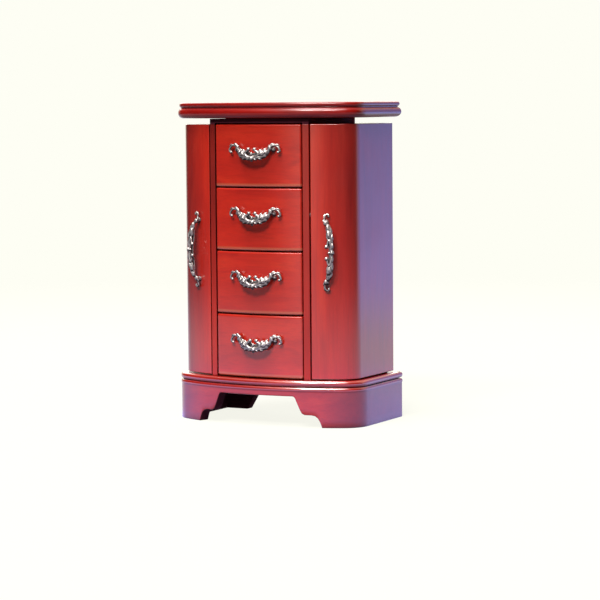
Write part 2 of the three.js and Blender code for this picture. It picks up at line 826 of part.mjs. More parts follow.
function hookStrip() {
  const hookPitch = (sidePanelLength - 2 * (hookStripEndGap + hookStripMargin)) / (hookCount - 1);
  const start = -hookPitch * (hookCount - 1) / 2;
  const solids = [boxSolid(
    [-hookStripThickness, start - hookStripMargin, -hookStripHeight / 2],
    [0, -start + hookStripMargin, hookStripHeight / 2],
  )];
  for (let i = 0; i < hookCount; i += 1) {
    const y = start + i * hookPitch;
    const bend = [
      [-hookRoot, y, 0], [-hookStraight, y, -hookSag], [-hookReach, y, hookSag], [-hookReach, y, hookRise],
    ];
    solids.push(
      tubeAlong(bend, hookWire, hookSides, hookSteps),
      ellipsoid([-hookReach, y, hookRise], [hookBallRadius, hookBallRadius, hookBallRadius]),
    );
  }
  return union(...solids);
}

// Side outline of the pouch, drawn in x and z: flat against the panel, bellied out below
function pouchProfile(wall) {
  const reach = pouchReach - wall;
  return new THREE.Shape([
    ...point(-wall, wall),
    ...point(-wall, pouchHeight + wall),
    ...point(-reach + pouchBulge, pouchHeight + wall),
    ...point(-reach + pouchBulge / 2, pouchShoulder),
    ...point(-reach, pouchBelly),
    ...point(-reach + pouchBulge / 2, pouchHem),
    ...point(-reach + 2 * pouchBulge, wall),
  ].reverse());
}

function pouch() {
  const half = sidePanelLength / 2 - pouchEndGap;
  const outer = solid(extrudeBack(pouchProfile(0), -half, half));
  const inner = solid(extrudeBack(pouchProfile(pouchWall), -half + pouchWall, half - pouchWall));
  return cut(outer, inner);
}

function door(side) {
  const group = new THREE.Group();
  const sign = side === 'right' ? 1 : -1;
  const handed = (shape) => (side === 'right' ? shape : mirrored(shape));
  const floorTop = doorBottom + doorCapThickness;

  const hooks = piece(`door_${side}_hooks`, handed(hookStrip()), brass);
  hooks.position.set(sign * doorInnerX, sidePanelMiddle, wingTop - hookStripDrop);
  const bag = piece(`door_${side}_pouch`, handed(pouch()), velvet);
  bag.position.set(sign * (doorInnerX - gluedGap), sidePanelMiddle, floorTop + pouchLift);
  const pull = solid(placeOnWing(geometryOf(castPull(doorPullLength, doorPullDroop))));
  const magnet = cylinderX(magnetRadius, 0, magnetDepth, discSides);
  const magnetPiece = piece(`door_${side}_magnet`, handed(solid(magnet)), steel);
  magnetPiece.position.set(sign * doorEdgeX, magnetY(), magnetHeight);

  group.add(
    piece(`door_${side}_shell`, handed(doorShell()), cherry),
    piece(`door_${side}_top`, handed(doorCap(wingTop - doorCapThickness, wingTop)), cherry),
    piece(`door_${side}_floor`, handed(doorCap(doorBottom, floorTop)), cherry),
    piece(`door_${side}_pull`, handed(pull), pewter),
    hooks,
    bag,
    magnetPiece,
    doorHinges(side),
  );
  return group;
}

// --- assembly --------------------------------------------------------------------------------------

const armoire = new THREE.Group();
armoire.name = 'jewelry_armoire';
armoire.add(base(), column(), drawers(), door('left'), door('right'), lid(), lidHinges());

export default armoire;
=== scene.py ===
import math

import bmesh
import bpy
from mathutils import Matrix, Vector, noise


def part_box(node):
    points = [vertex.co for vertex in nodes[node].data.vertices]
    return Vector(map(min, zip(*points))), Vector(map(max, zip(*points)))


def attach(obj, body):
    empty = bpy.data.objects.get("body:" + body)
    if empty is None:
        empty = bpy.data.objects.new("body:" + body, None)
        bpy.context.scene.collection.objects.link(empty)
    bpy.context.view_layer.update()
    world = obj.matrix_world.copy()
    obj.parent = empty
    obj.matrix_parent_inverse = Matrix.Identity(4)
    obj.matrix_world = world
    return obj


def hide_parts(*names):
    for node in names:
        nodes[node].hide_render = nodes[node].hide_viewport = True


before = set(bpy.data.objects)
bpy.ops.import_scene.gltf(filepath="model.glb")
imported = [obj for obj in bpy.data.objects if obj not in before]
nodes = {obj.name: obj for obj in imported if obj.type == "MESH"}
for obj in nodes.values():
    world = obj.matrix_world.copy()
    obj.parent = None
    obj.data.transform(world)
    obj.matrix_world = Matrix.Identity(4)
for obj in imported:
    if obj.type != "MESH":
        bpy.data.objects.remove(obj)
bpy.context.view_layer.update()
scene = bpy.context.scene
print("frame loaded,", len(nodes), "cad nodes")

mm = 0.001  # shapes below are in millimetres, turned into metres when a mesh is made
sides = ("left", "right")
down = -math.pi / 2  # the way the front faces, as an angle in plan
chamferMiddle = 0.3  # where the line between a chamfer's two faces lies, as a share of its width


def nodeBox(name):
    low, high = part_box(name)
    return low / mm, high / mm


# places taken from the cad parts
drawerLow = nodeBox("drawer_1_front")[0]
doorLow, doorHigh = nodeBox("door_right_shell")
baseLow, baseHigh = nodeBox("base_top")
lidLow, lidHigh = nodeBox("lid_board")
backHigh = nodeBox("back_panel")[1]
columnLow, columnHigh = nodeBox("column_side_right")

# plan of the body: one bow over the column, tighter arcs over the wings, then a round corner
plan = {
    "halfWidth": doorHigh.x,
    "bowRadius": 280.0,
    "wingRadius": 200.0,
    "cornerRadius": 24.0,
    "doorEdge": doorLow.x,
    "frontY": drawerLow.y,
    "rearY": backHigh.y,
    "overhang": lidHigh.x - doorHigh.x,
    "rearEdge": lidHigh.y,
    "bowSteps": 30,
    "wingSteps": 14,
    "cornerSteps": 12,
    "sideSteps": 8,
}
bowCentre = Vector((0, plan["frontY"] + plan["bowRadius"]))
bowHalf = math.asin(plan["doorEdge"] / plan["bowRadius"])
wingCentre = Vector((
    (plan["bowRadius"] - plan["wingRadius"]) * math.sin(bowHalf),
    bowCentre.y - (plan["bowRadius"] - plan["wingRadius"]) * math.cos(bowHalf),
))
cornerX = plan["halfWidth"] - plan["cornerRadius"]
cornerCentre = Vector((cornerX, wingCentre.y - math.sqrt(
    (plan["wingRadius"] - plan["cornerRadius"]) ** 2 - (cornerX - wingCentre.x) ** 2)))
wingEnd = math.atan2(cornerX - wingCentre.x, wingCentre.y - cornerCentre.y)


def setAll(target, **settings):
    for key, value in settings.items():
        setattr(target, key, value)
    return target


def finishMesh(mesh, sharp):
    work = bmesh.new()
    work.from_mesh(mesh)
    bmesh.ops.recalc_face_normals(work, faces=work.faces)
    work.to_mesh(mesh)
    work.free()
    mesh.shade_smooth()
    if sharp:
        mesh.set_sharp_from_angle(angle=math.radians(sharp))


def newMesh(name, shape, sharp=40):
    mesh = bpy.data.meshes.new(name)
    mesh.from_pydata([Vector(v) * mm for v in shape[0]], [], shape[1])
    finishMesh(mesh, sharp)
    return mesh


def addObject(name, data):
    item = bpy.data.objects.new(name, data)
    scene.collection.objects.link(item)
    return item


def addModifier(piece, name, kind, **settings):
    return setAll(piece.modifiers.new(name, kind), **settings)


def applyModifiers(piece):
    graph = bpy.context.evaluated_depsgraph_get()
    graph.update()
    old = piece.data
    mesh = bpy.data.meshes.new_from_object(piece.evaluated_get(graph))
    piece.modifiers.clear()
    piece.data = mesh
    bpy.data.meshes.remove(old)


def roundEdges(piece, width, segments=3, angle=32):
    addModifier(piece, "roundEdges", "BEVEL", width=width * mm, segments=segments, limit_method="ANGLE",
                angle_limit=math.radians(angle), harden_normals=True, miter_outer="MITER_ARC")


def mount(piece, body, slot, *replaced):
    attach(piece, body)
    if replaced:
        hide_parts(*replaced)


# shape is points and faces, or a finished mesh; place is the body, the slot (not used) and the cad nodes
# replaced
def addPiece(name, shape, materials, place=(), sharp=40, edge=0.0, segments=3):
    mesh = newMesh(name, shape, sharp) if isinstance(shape, tuple) else shape
    piece = addObject(name, mesh)
    mesh.materials.clear()
    for material in materials:
        mesh.materials.append(material)
    if place:
        mount(piece, *place)
    if edge:
        roundEdges(piece, edge, segments)
    return piece


def arcPoints(centre, radius, start, end, steps):
    angles = [start + (end - start) * i / steps for i in range(steps + 1)]
    return [(centre[0] + radius * math.cos(a), centre[1] + radius * math.sin(a)) for a in angles]


# bridges equal loops of points one after another; caps the first and last, or joins them in a ring
def loftLoops(loops, closed=False):
    count = len(loops[0])
    last = len(loops) - 1
    pairs = [(k, k + 1) for k in range(last)] + ([(last, 0)] if closed else [])
    faces = []
    for a, b in pairs:
        for i in range(count):
            j = (i + 1) % count
            faces.append((a * count + i, a * count + j, b * count + j, b * count + i))
    if not closed:
        faces.append(tuple(range(count - 1, -1, -1)))
        faces.append(tuple(last * count + i for i in range(count)))
    return [v for loop in loops for v in loop], faces


def prism(outline, low, high):
    return loftLoops([[(x, y, z) for x, y in outline] for z in (low, high)])


def rectangle(low, high):
    return [(low[0], low[1]), (high[0], low[1]), (high[0], high[1]), (low[0], high[1])]


def joinParts(parts):
    verts, faces = [], []
    for partVerts, partFaces in parts:
        start = len(verts)
        verts += [tuple(v) for v in partVerts]
        faces += [tuple(i + start for i in face) for face in partFaces]
    return verts, faces


# shapes are drawn for the right-hand side
def forSide(side, shape):
    if side == "right":
        return shape
    verts, faces = shape
    return [(-v[0], v[1], v[2]) for v in verts], [tuple(reversed(f)) for f in faces]


# smooth line through the given points
def splinePoints(points, perSpan):
    points = [Vector(p) for p in points]
    ends = [2 * points[0] - points[1]] + points + [2 * points[-1] - points[-2]]
    line = []
    for k in range(1, len(ends) - 2):
        a, b, c, d = ends[k - 1:k + 3]
        for i in range(perSpan):
            t = i / perSpan
            line.append(0.5 * (2 * b + (c - a) * t + (2 * a - 5 * b + 4 * c - d) * t * t
                               + (3 * b - a - 3 * c + d) * t ** 3))
    line.append(points[-1])
    return line


def splineValues(values, perSpan):
    return [p.x for p in splinePoints([(v, 0, 0) for v in values], perSpan)]


# a round bar along a line, its radius changing on the way, its ends rounded off
def tube(line, radii, around=12):
    line = [Vector(p) for p in line]
    across = None
    rings = []
    for i, p in enumerate(line):
        along = (line[min(i + 1, len(line) - 1)] - line[max(i - 1, 0)]).normalized()
        if across is None:
            across = along.orthogonal().normalized()
        across = (across - along * across.dot(along)).normalized()
        rings.append((p, along, across, along.cross(across), radii[i]))

    def cap(ring, way, turns):
        p, along, across, other, radius = ring
        return [(p + along * way * radius * math.cos(turn * math.pi / 2), along, across, other,
                 radius * math.sin(turn * math.pi / 2)) for turn in turns]

    turns = (0.25, 0.6, 0.88)
    loops = []
    rings = cap(rings[0], -1, turns) + rings + cap(rings[-1], 1, turns[::-1])
    for p, along, across, other, radius in rings:
        angles = [2 * math.pi * k / around for k in range(around)]
        loops.append([p + (across * math.cos(a) + other * math.sin(a)) * radius for a in angles])
    return loftLoops(loops)


def blob(centre, radii, turnDegrees=0.0, around=14, up=9):
    turn = Matrix.Rotation(math.radians(turnDegrees), 3, "Y")
    loops = []
    for j in range(1, up):
        tilt = math.pi * j / up - math.pi / 2
        angles = [2 * math.pi * i / around for i in range(around)]
        loops.append([Vector(centre) + turn @ Vector((radii[0] * math.cos(tilt) * math.cos(a),
                                                      radii[1] * math.cos(tilt) * math.sin(a),
                                                      radii[2] * math.sin(tilt))) for a in angles])
    return loftLoops(loops)


# links sockets into a node's inputs and sets plain values on the rest
def feed(tree, node, values):
    for key, value in values.items():
        if isinstance(value, bpy.types.NodeSocket):
            tree.links.new(value, node.inputs[key])
        else:
            node.inputs[key].default_value = value
    return node


def addNode(tree, kind, values=None, **settings):
    return feed(tree, setAll(tree.nodes.new("ShaderNode" + kind), **settings), values or {})


def coordinate(tree, kind="Object"):
    return addNode(tree, "TexCoord").outputs[kind]


def axes(tree, vector):
    return addNode(tree, "SeparateXYZ", {0: vector}).outputs


def calc(tree, operation, *values, clamp=False):
    return addNode(tree, "Math", dict(enumerate(values)), operation=operation, use_clamp=clamp).outputs[0]


def mixColour(tree, factor, a, b, blend="MIX"):
    node = addNode(tree, "Mix", data_type="RGBA", blend_type=blend)
    return feed(tree, node, {0: factor, 6: a, 7: b}).outputs[2]


def mapRange(tree, value, low, high, fromValue=0.0, toValue=1.0, curve="SMOOTHSTEP"):
    values = {"Value": value, "From Min": low, "From Max": high, "To Min": fromValue, "To Max": toValue}
    return addNode(tree, "MapRange", values, interpolation_type=curve).outputs[0]


# each stop is a place and a colour, or a place and a grey value
def ramp(tree, source, stops):
    node = addNode(tree, "ValToRGB", {"Fac": source})
    elements = node.color_ramp.elements
    while len(elements) > 1:
        elements.remove(elements[-1])
    for index, (position, value) in enumerate(stops):
        element = elements.new(position) if index else elements[0]
        element.position = position
        element.color = value if isinstance(value, tuple) else (value, value, value, 1)
    return node.outputs["Color"]


def noiseAt(tree, place, scale, detail, roughness=0.5, distortion=0.0):
    values = {"Vector": place, "Scale": scale, "Detail": detail, "Roughness": roughness,
              "Distortion": distortion}
    return addNode(tree, "TexNoise", values).outputs["Fac"]


def stretched(tree, place, scale):
    return addNode(tree, "Mapping", {"Vector": place, "Scale": scale}).outputs[0]


# gives the group, its input sockets and the node that takes its results; an input with no value is a vector
def shaderGroup(name, inputs, outputs):
    group = bpy.data.node_groups.new(name, "ShaderNodeTree")
    for socketName, value in inputs.items():
        kind = "NodeSocketVector" if value is None else "NodeSocketFloat"
        socket = group.interface.new_socket(name=socketName, in_out="INPUT", socket_type=kind)
        if value is not None:
            socket.default_value = value
    for socketName in outputs:
        group.interface.new_socket(name=socketName, in_out="OUTPUT", socket_type="NodeSocketFloat")
    return group, group.nodes.new("NodeGroupInput").outputs, group.nodes.new("NodeGroupOutput")


grainLook = {
    "bandStretch": (0.16, 1, 1),
    "streakStretch": (0.045, 1, 1),
    "poreStretch": (0.09, 1, 1),
    "streakRoughness": 0.62,
    "poreDensity": 3.0,
    "poreDots": [(0.0, 1.0), (0.16, 0.65), (0.3, 0.0)],
    "poresWhere": [(0.42, 0.0), (0.62, 1.0)],   # pores gather in the coarse streaks
    "cloudScale": 9.0,
}


# long soft bands, fine streaks and short pores that run along the group's own x axis
def makeGrainGroup():
    look = grainLook
    tree, given, end = shaderGroup(
        "woodGrain", {"Vector": None, "Band Scale": 38.0, "Streak Scale": 420.0, "Waviness": 1.2},
        ("Bands", "Streaks", "Pores", "Clouds"))
    place, fine = given["Vector"], given["Streak Scale"]
    bands = noiseAt(tree, stretched(tree, place, look["bandStretch"]), given["Band Scale"], 3.0,
                    distortion=given["Waviness"])
    streaks = noiseAt(tree, stretched(tree, place, look["streakStretch"]), fine, 4.0,
                      look["streakRoughness"])
    pores = addNode(tree, "TexVoronoi", {"Vector": stretched(tree, place, look["poreStretch"]),
                                         "Scale": calc(tree, "MULTIPLY", fine, look["poreDensity"])})
    dots = ramp(tree, pores.outputs["Distance"], look["poreDots"])
    sparse = ramp(tree, streaks, look["poresWhere"])
    feed(tree, end, {"Bands": bands, "Streaks": streaks, "Pores": calc(tree, "MULTIPLY", dots, sparse),
                     "Clouds": noiseAt(tree, place, look["cloudScale"], 2.0)})
    return tree


# how deep a point sits in a corner or groove, broken up a little; on wood and cloth the darkening it drives
# is painted shade, on pewter it is patina
def makeCreviceGroup():
    tree, given, end = shaderGroup("crevice", {"Reach": 0.004, "Strength": 1.0}, ("Mask",))
    occlusion = addNode(tree, "AmbientOcclusion", {"Distance": given["Reach"]}, samples=6)
    closed = ramp(tree, occlusion.outputs["AO"], [(0.35, 1.0), (0.8, 0.0)])
    speckle = ramp(tree, noiseAt(tree, coordinate(tree), 260.0, 3.0), [(0.3, 0.7), (0.65, 1.0)])
    mask = calc(tree, "MULTIPLY", closed, speckle)
    feed(tree, end, {"Mask": calc(tree, "MULTIPLY", mask, given["Strength"], clamp=True)})
    return tree


# rubbed and recessed places of a dense mesh, from how sharply it bends; a flat face is at 0.5
def makeEdgeWearGroup():
    tree, given, end = shaderGroup("edgeWear", {"Low": 0.44, "High": 0.56}, ("Raised", "Sunken"))
    bend = addNode(tree, "NewGeometry").outputs["Pointiness"]
    feed(tree, end, {"Raised": mapRange(tree, bend, 0.5, given["High"], 0.0, 1.0, "LINEAR"),
                     "Sunken": mapRange(tree, bend, given["Low"], 0.5, 1.0, 0.0, "LINEAR")})
    return tree


# fine dust and handling marks that lie in soft patches
def makeDustGroup():
    tree, given, end = shaderGroup("dustFilm", {"Scale": 14.0, "Amount": 1.0}, ("Mask",))
    place = coordinate(tree)
    patches = ramp(tree, noiseAt(tree, place, given["Scale"], 5.0, 0.6), [(0.42, 0.0), (0.72, 1.0)])
    specks = ramp(tree, noiseAt(tree, place, 900.0, 2.0), [(0.35, 0.6), (0.7, 1.0)])
    mask = calc(tree, "MULTIPLY", patches, specks)
    feed(tree, end, {"Mask": calc(tree, "MULTIPLY", mask, given["Amount"], clamp=True)})
    return tree


# short pile: tiny tufts and brushed patches
def makePileGroup():
    tree, given, end = shaderGroup(
        "clothPile", {"Tuft Scale": 2600.0, "Patch Scale": 45.0}, ("Tufts", "Patches"))
    place = coordinate(tree)
    feed(tree, end, {"Tufts": noiseAt(tree, place, given["Tuft Scale"], 2.0, 0.7),
                     "Patches": noiseAt(tree, place, given["Patch Scale"], 3.0, distortion=0.8)})
    return tree


grainGroup = makeGrainGroup()
creviceGroup = makeCreviceGroup()
edgeWearGroup = makeEdgeWearGroup()
dustGroup = makeDustGroup()
pileGroup = makePileGroup()


def useGroup(tree, group, values):
    node = tree.nodes.new("ShaderNodeGroup")
    node.node_tree = group
    return feed(tree, node, values).outputs


def dustMask(tree, scale, amount=1.0):
    return useGroup(tree, dustGroup, {"Scale": scale, "Amount": amount})["Mask"]


# roughness with a film of dust on it
def dusty(tree, dust, roughness):
    scale, amount = dust
    return calc(tree, "MULTIPLY_ADD", dustMask(tree, scale), amount, roughness)


def creviceMask(tree, reach, strength):
    return useGroup(tree, creviceGroup, {"Reach": reach, "Strength": strength})["Mask"]


def bump(tree, height, distance, strength):
    values = {"Height": height, "Distance": distance, "Strength": strength}
    return addNode(tree, "Bump", values).outputs["Normal"]


def newMaterial(name):
    material = bpy.data.materials.new(name)
    material.use_nodes = True
    return material, material.node_tree


def finishMaterial(material, values):
    feed(material.node_tree, material.node_tree.nodes["Principled BSDF"], values)
    return material


# grain runs along the group's x axis, so each turn brings that axis to the board's length
grainAcross, grainUpright, grainDeep = (0, 0, 0), (0, math.pi / 2, 0), (0, 0, math.pi / 2)

# stained cherry under satin lacquer
cherryLook = {
    "turn": grainAcross,
    "bandScale": 34.0,
    "streakScale": 430.0,
    "waviness": 1.4,
    "stain": [(0.28, (0.410, 0.009, 0.003, 1)), (0.47, (0.500, 0.014, 0.004, 1)),
              (0.70, (0.570, 0.024, 0.006, 1))],
    "streakTone": [(0.3, 0.80), (0.5, 1.0), (0.72, 1.10)],
    "streakAmount": 0.75,
    "cloudTone": [(0.3, (0.88, 0.80, 0.84, 1)), (0.7, (1.06, 1.10, 1.02, 1))],
    "cloudAmount": 0.8,
    "poreAmount": 0.5,
    "poreColour": (0.150, 0.009, 0.006, 1),
    "poreDepth": -0.6,
    # painted shade: the wood turns darker in corners and grooves, over the stain that gathers there
    "crevice": (0.005, 0.85),
    "creviceShadeColour": (0.050, 0.003, 0.003, 1),
    "roughness": 0.30,
    "streakRoughness": 0.10,
    "dust": (11.0, 0.12),
    "specular": 0.5,
    "coat": 1.0,
    "coatRoughness": 0.13,
    "coatIndex": 1.6,
    "bump": (0.00012, 0.35),
    "tone": None,            # colour over the whole board, or a lower and an upper one; a pair, and the lid side's tone, are painted shade
    "paintedShade": None,           # painted shade: a darker colour towards the corners and sides, where turned faces get less light
    "paintedShadeAt": (0.076, 0.119),   # where that painted shade sets in and is full, metres from the middle
    "paintedShadeHeights": (0.10, 0.32),      # heights of the lower and the upper colour of a pair, which is painted shade
    # drawer fronts: a painted highlight along the lower edge, and thinner coat along the upper edge
    "paintedEdgeHighlight": False,
    "edgeHighlightLine": (0.066, 0.042),   # painted highlight: a lighter line along the lower edge of a drawer front that stands in for the floor's reflection, as a share of its height
    "edgeHighlightAmount": 0.7,
    "edgeHighlightColour": (0.450, 0.100, 0.047, 1),
    "dullLine": (0.950, 0.972),     # its upper edge, where the lacquer is thin
    "dullAmount": 0.85,
}
cherryKinds = {
    "Across": {},
    "Drawer": {"paintedEdgeHighlight": True},
    "Lid": {"tone": (0.55, 0.30, 0.55, 1), "coat": 0.45, "specular": 0.25},
    # the lid's right-facing side: a darker copy of the lid, painted shade
    "LidShadedSide": {"tone": (0.40, 0.30, 0.55, 1), "specular": 0.25},
    # the base: painted shade towards its corners and sides
    "Base": {"tone": (0.84, 0.88, 1.0, 1), "paintedShade": (0.56, 0.44, 0.88, 1)},
    "Plinth": {"tone": (0.76, 0.50, 0.66, 1), "coatIndex": 2.1},
    # stiles: painted shade, darker towards the top, more on the left
    "StileLeft": {"turn": grainUpright, "coat": 0.3, "tone": (
        (0.84, 0.82, 0.90, 1), (0.37, 0.34, 0.60, 1))},
    "StileRight": {"turn": grainUpright, "coat": 0.3, "tone": (
        (0.86, 0.82, 0.88, 1), (0.60, 0.52, 0.60, 1))},
    # wings: painted shade towards the corners and the sides, set apart for each side and for low and high
    "WingLeft": {"turn": grainUpright, "paintedShade": ((0.44, 0.36, 0.84, 1), (0.48, 0.42, 0.85, 1))},
    "WingRight": {"turn": grainUpright, "paintedShade": ((0.86, 0.54, 0.88, 1), (0.55, 0.50, 0.95, 1))},
    "Depth": {"turn": grainDeep},
    # stained, not lacquered
    "Inside": {"turn": grainUpright, "tone": (0.47, 0.42, 0.46, 1), "roughness": 0.62, "specular": 0.1,
               "coat": 0.0},
}
# raw pale boards inside: drawer sides, shelves, tray floor
drawerWoodLook = {
    "turn": grainDeep,
    "bandScale": 52.0,
    "streakScale": 520.0,
    "waviness": 2.0,
    "stain": [(0.3, (0.33, 0.165, 0.070, 1)), (0.5, (0.47, 0.26, 0.115, 1)),
              (0.7, (0.56, 0.34, 0.165, 1))],
    "streakTone": [(0.3, 0.76), (0.7, 1.08)],
    "streakAmount": 0.8,
    "cloudAmount": 0.0,
    "poreAmount": 0.55,
    "poreColour": (0.13, 0.06, 0.03, 1),
    "poreDepth": 0.0,
    # painted shade: darker in corners and grooves
    "crevice": (0.004, 0.6),
    "creviceShadeColour": (0.10, 0.05, 0.025, 1),
    "roughness": 0.52,
    "streakRoughness": 0.0,
    "dust": (20.0, 0.15),
    "coat": 0.0,
    "bump": (0.0002, 0.5),
}


def grainAlong(tree, look):
    turned = addNode(tree, "Mapping", {"Vector": coordinate(tree), "Rotation": look["turn"]}).outputs[0]
    return useGroup(tree, grainGroup, {"Vector": turned, "Band Scale": look["bandScale"],
                                       "Streak Scale": look["streakScale"], "Waviness": look["waviness"]})


# wood with everything that its look doesn't say taken from cherryLook
def makeWood(name, changes):
    look = {**cherryLook, **changes}
    material, tree = newMaterial(name)
    grain = grainAlong(tree, look)
    wood = ramp(tree, grain["Bands"], look["stain"])
    streaks = ramp(tree, grain["Streaks"], look["streakTone"])
    wood = mixColour(tree, look["streakAmount"], wood, streaks, "MULTIPLY")
    clouds = ramp(tree, grain["Clouds"], look["cloudTone"])
    wood = mixColour(tree, look["cloudAmount"], wood, clouds, "MULTIPLY")
    pores = calc(tree, "MULTIPLY", grain["Pores"], look["poreAmount"])
    wood = mixColour(tree, pores, wood, look["poreColour"])
    # painted shade in corners and grooves
    wood = mixColour(tree, creviceMask(tree, *look["crevice"]), wood, look["creviceShadeColour"])
    place = axes(tree, coordinate(tree))

    def level(tone):
        if len(tone) == 4:
            return tone
        return mixColour(tree, mapRange(tree, place["Z"], *look["paintedShadeHeights"]), *tone)

    # painted shade towards the corners and sides
    if look["paintedShade"]:
        edge = mapRange(tree, calc(tree, "ABSOLUTE", place["X"]), *look["paintedShadeAt"])
        wood = mixColour(tree, edge, wood, mixColour(tree, 1.0, wood, level(look["paintedShade"]), "MULTIPLY"))
    coat = look["coat"]
    # painted highlight along a drawer front's lower edge, thinner coat along its upper edge
    if look["paintedEdgeHighlight"]:
        share = axes(tree, coordinate(tree, "Generated"))["Z"]
        line = mapRange(tree, share, *look["edgeHighlightLine"], 0.0, look["edgeHighlightAmount"])
        wood = mixColour(tree, line, wood, look["edgeHighlightColour"])
        dull = mapRange(tree, share, *look["dullLine"], 0.0, look["dullAmount"])
        coat = calc(tree, "SUBTRACT", coat, dull)
    # a pair of colours, and the lid side's tone, are painted shade
    if look["tone"]:
        wood = mixColour(tree, 1.0, wood, level(look["tone"]), "MULTIPLY")
    roughness = dusty(tree, look["dust"], look["roughness"])
    height = calc(tree, "MULTIPLY_ADD", grain["Pores"], look["poreDepth"], grain["Streaks"])
    return finishMaterial(material, {
        "Base Color": wood,
        "Roughness": calc(tree, "MULTIPLY_ADD", grain["Streaks"], look["streakRoughness"], roughness),
        "Specular IOR Level": look["specular"],
        "Coat Weight": coat,
        "Coat Roughness": look["coatRoughness"],
        "Coat IOR": look["coatIndex"],
        "Normal": bump(tree, height, *look["bump"]),
    })


# near-black that stands in for shade
paintedShadeDarkLook = {
    "stain": [(0.3, (0.045, 0.007, 0.013, 1)), (0.7, (0.115, 0.016, 0.032, 1))],
    "roughness": 0.72,
    "dust": (14.0, 0.15),
    "specular": 0.12,
    "bump": (0.00015, 0.5),
}


# near-black painted shade on the neck under the lid, the inside of the apron and its sawn edges, where the
# lid and the apron keep the light off
def makePaintedShadeDark():
    look = paintedShadeDarkLook
    material, tree = newMaterial("paintedShadeDark")
    streaks = grainAlong(tree, cherryLook)["Streaks"]
    return finishMaterial(material, {
        "Base Color": ramp(tree, streaks, look["stain"]),
        "Roughness": dusty(tree, look["dust"], look["roughness"]),
        "Specular IOR Level": look["specular"],
        "Normal": bump(tree, streaks, *look["bump"]),
    })


pewterLook = {
    "bright": (0.40, 0.37, 0.36, 1),
    "worn": (0.60, 0.58, 0.55, 1),
    # patina in the hollows, also used as painted shade underneath
    "patinaAndShade": (0.030, 0.016, 0.016, 1),
    "wear": {"Low": 0.455, "High": 0.56},
    "sunken": 0.8,
    "crevice": (0.0042, 0.95),
    "paintedShadeBelowAt": (0.02, -0.50),   # painted shade: the metal goes as dark as its patina where it faces this far down
    "paintedShadeBelow": 0.95,
    "roughness": 0.42,
    "patinaRoughness": 0.35,
    "patinaDulls": 0.6,
    "dust": (70.0, 0.12),
    "pitScale": 1500.0,
    "bump": (0.0002, 0.25),
}


def makePewter():
    look = pewterLook
    material, tree = newMaterial("antiquePewter")
    wear = useGroup(tree, edgeWearGroup, look["wear"])
    crevices = creviceMask(tree, *look["crevice"])
    dark = calc(tree, "MULTIPLY_ADD", wear["Sunken"], look["sunken"], crevices, clamp=True)
    # painted shade on faces that look down, joined to the patina in the hollows
    facing = axes(tree, coordinate(tree, "Normal"))["Z"]
    shadedBelow = mapRange(tree, facing, *look["paintedShadeBelowAt"], 0.0, look["paintedShadeBelow"])
    dark = calc(tree, "MAXIMUM", dark, shadedBelow)
    tone = mixColour(tree, wear["Raised"], look["bright"], look["worn"])
    roughness = calc(tree, "MULTIPLY_ADD", dark, look["patinaRoughness"], look["roughness"])
    pits = noiseAt(tree, coordinate(tree), look["pitScale"], 3.0)
    return finishMaterial(material, {
        "Base Color": mixColour(tree, dark, tone, look["patinaAndShade"]),
        "Metallic": calc(tree, "MULTIPLY_ADD", dark, -look["patinaDulls"], 1.0),
        "Roughness": dusty(tree, look["dust"], roughness),
        "Normal": bump(tree, pits, *look["bump"]),
    })


def dimmed(colour, share):
    return (*(value * share for value in colour[:3]), 1)


metalLook = {
    "brush": (1, 1, 0.08),
    "brushRoughness": 0.22,
    "dustScale": 60.0,
    "crevice": (0.0015, 0.8),
    "creviceShare": 0.25,
    "bump": (0.0001, 0.2),
}


# plain metals for hinges, hooks, screws, magnets and strikes
def makeMetal(name, bright, dull, roughness, brushScale):
    look = metalLook
    material, tree = newMaterial(name)
    lines = noiseAt(tree, stretched(tree, coordinate(tree), look["brush"]), brushScale, 3.0)
    tone = mixColour(tree, dustMask(tree, look["dustScale"]), bright, dull)
    crevices = creviceMask(tree, *look["crevice"])
    return finishMaterial(material, {
        "Base Color": mixColour(tree, crevices, tone, dimmed(dull, look["creviceShare"])),
        "Metallic": 1.0,
        "Roughness": calc(tree, "MULTIPLY_ADD", lines, look["brushRoughness"], roughness),
        "Normal": bump(tree, lines, *look["bump"]),
    })


mirrorLook = {
    "clean": (0.88, 0.90, 0.90, 1),
    "dusty": (0.62, 0.64, 0.64, 1),
    "dustScale": 16.0,
    "dustAmount": 0.8,
    "dustTone": 0.12,
    "roughness": 0.015,
    "dustRoughness": 0.05,
}


def makeMirror():
    look = mirrorLook
    material, tree = newMaterial("mirrorGlass")
    dust = dustMask(tree, look["dustScale"], look["dustAmount"])
    share = calc(tree, "MULTIPLY", dust, look["dustTone"])
    return finishMaterial(material, {
        "Base Color": mixColour(tree, share, look["clean"], look["dusty"]),
        "Metallic": 1.0,
        "Roughness": calc(tree, "MULTIPLY_ADD", dust, look["dustRoughness"], look["roughness"]),
    })


velvetLook = {
    "patchScale": 42.0,
    "patchAt": (0.35, 0.62),
    "patchHeight": 0.6,
    "tuftTone": [(0.3, 0.62), (0.7, 1.15)],
    "tuftAmount": 0.9,
    # painted shade: the cloth darkens in its folds and sewn valleys
    "crevice": (0.004, 0.7),
    "creviceShare": 0.4,
    "roughness": 0.92,
    "specular": 0.2,
    "sheen": 0.8,
    "sheenRoughness": 0.35,
    "sheenTint": (1.0, 0.55, 0.60, 1),
    "bump": (0.0005, 0.5),
}


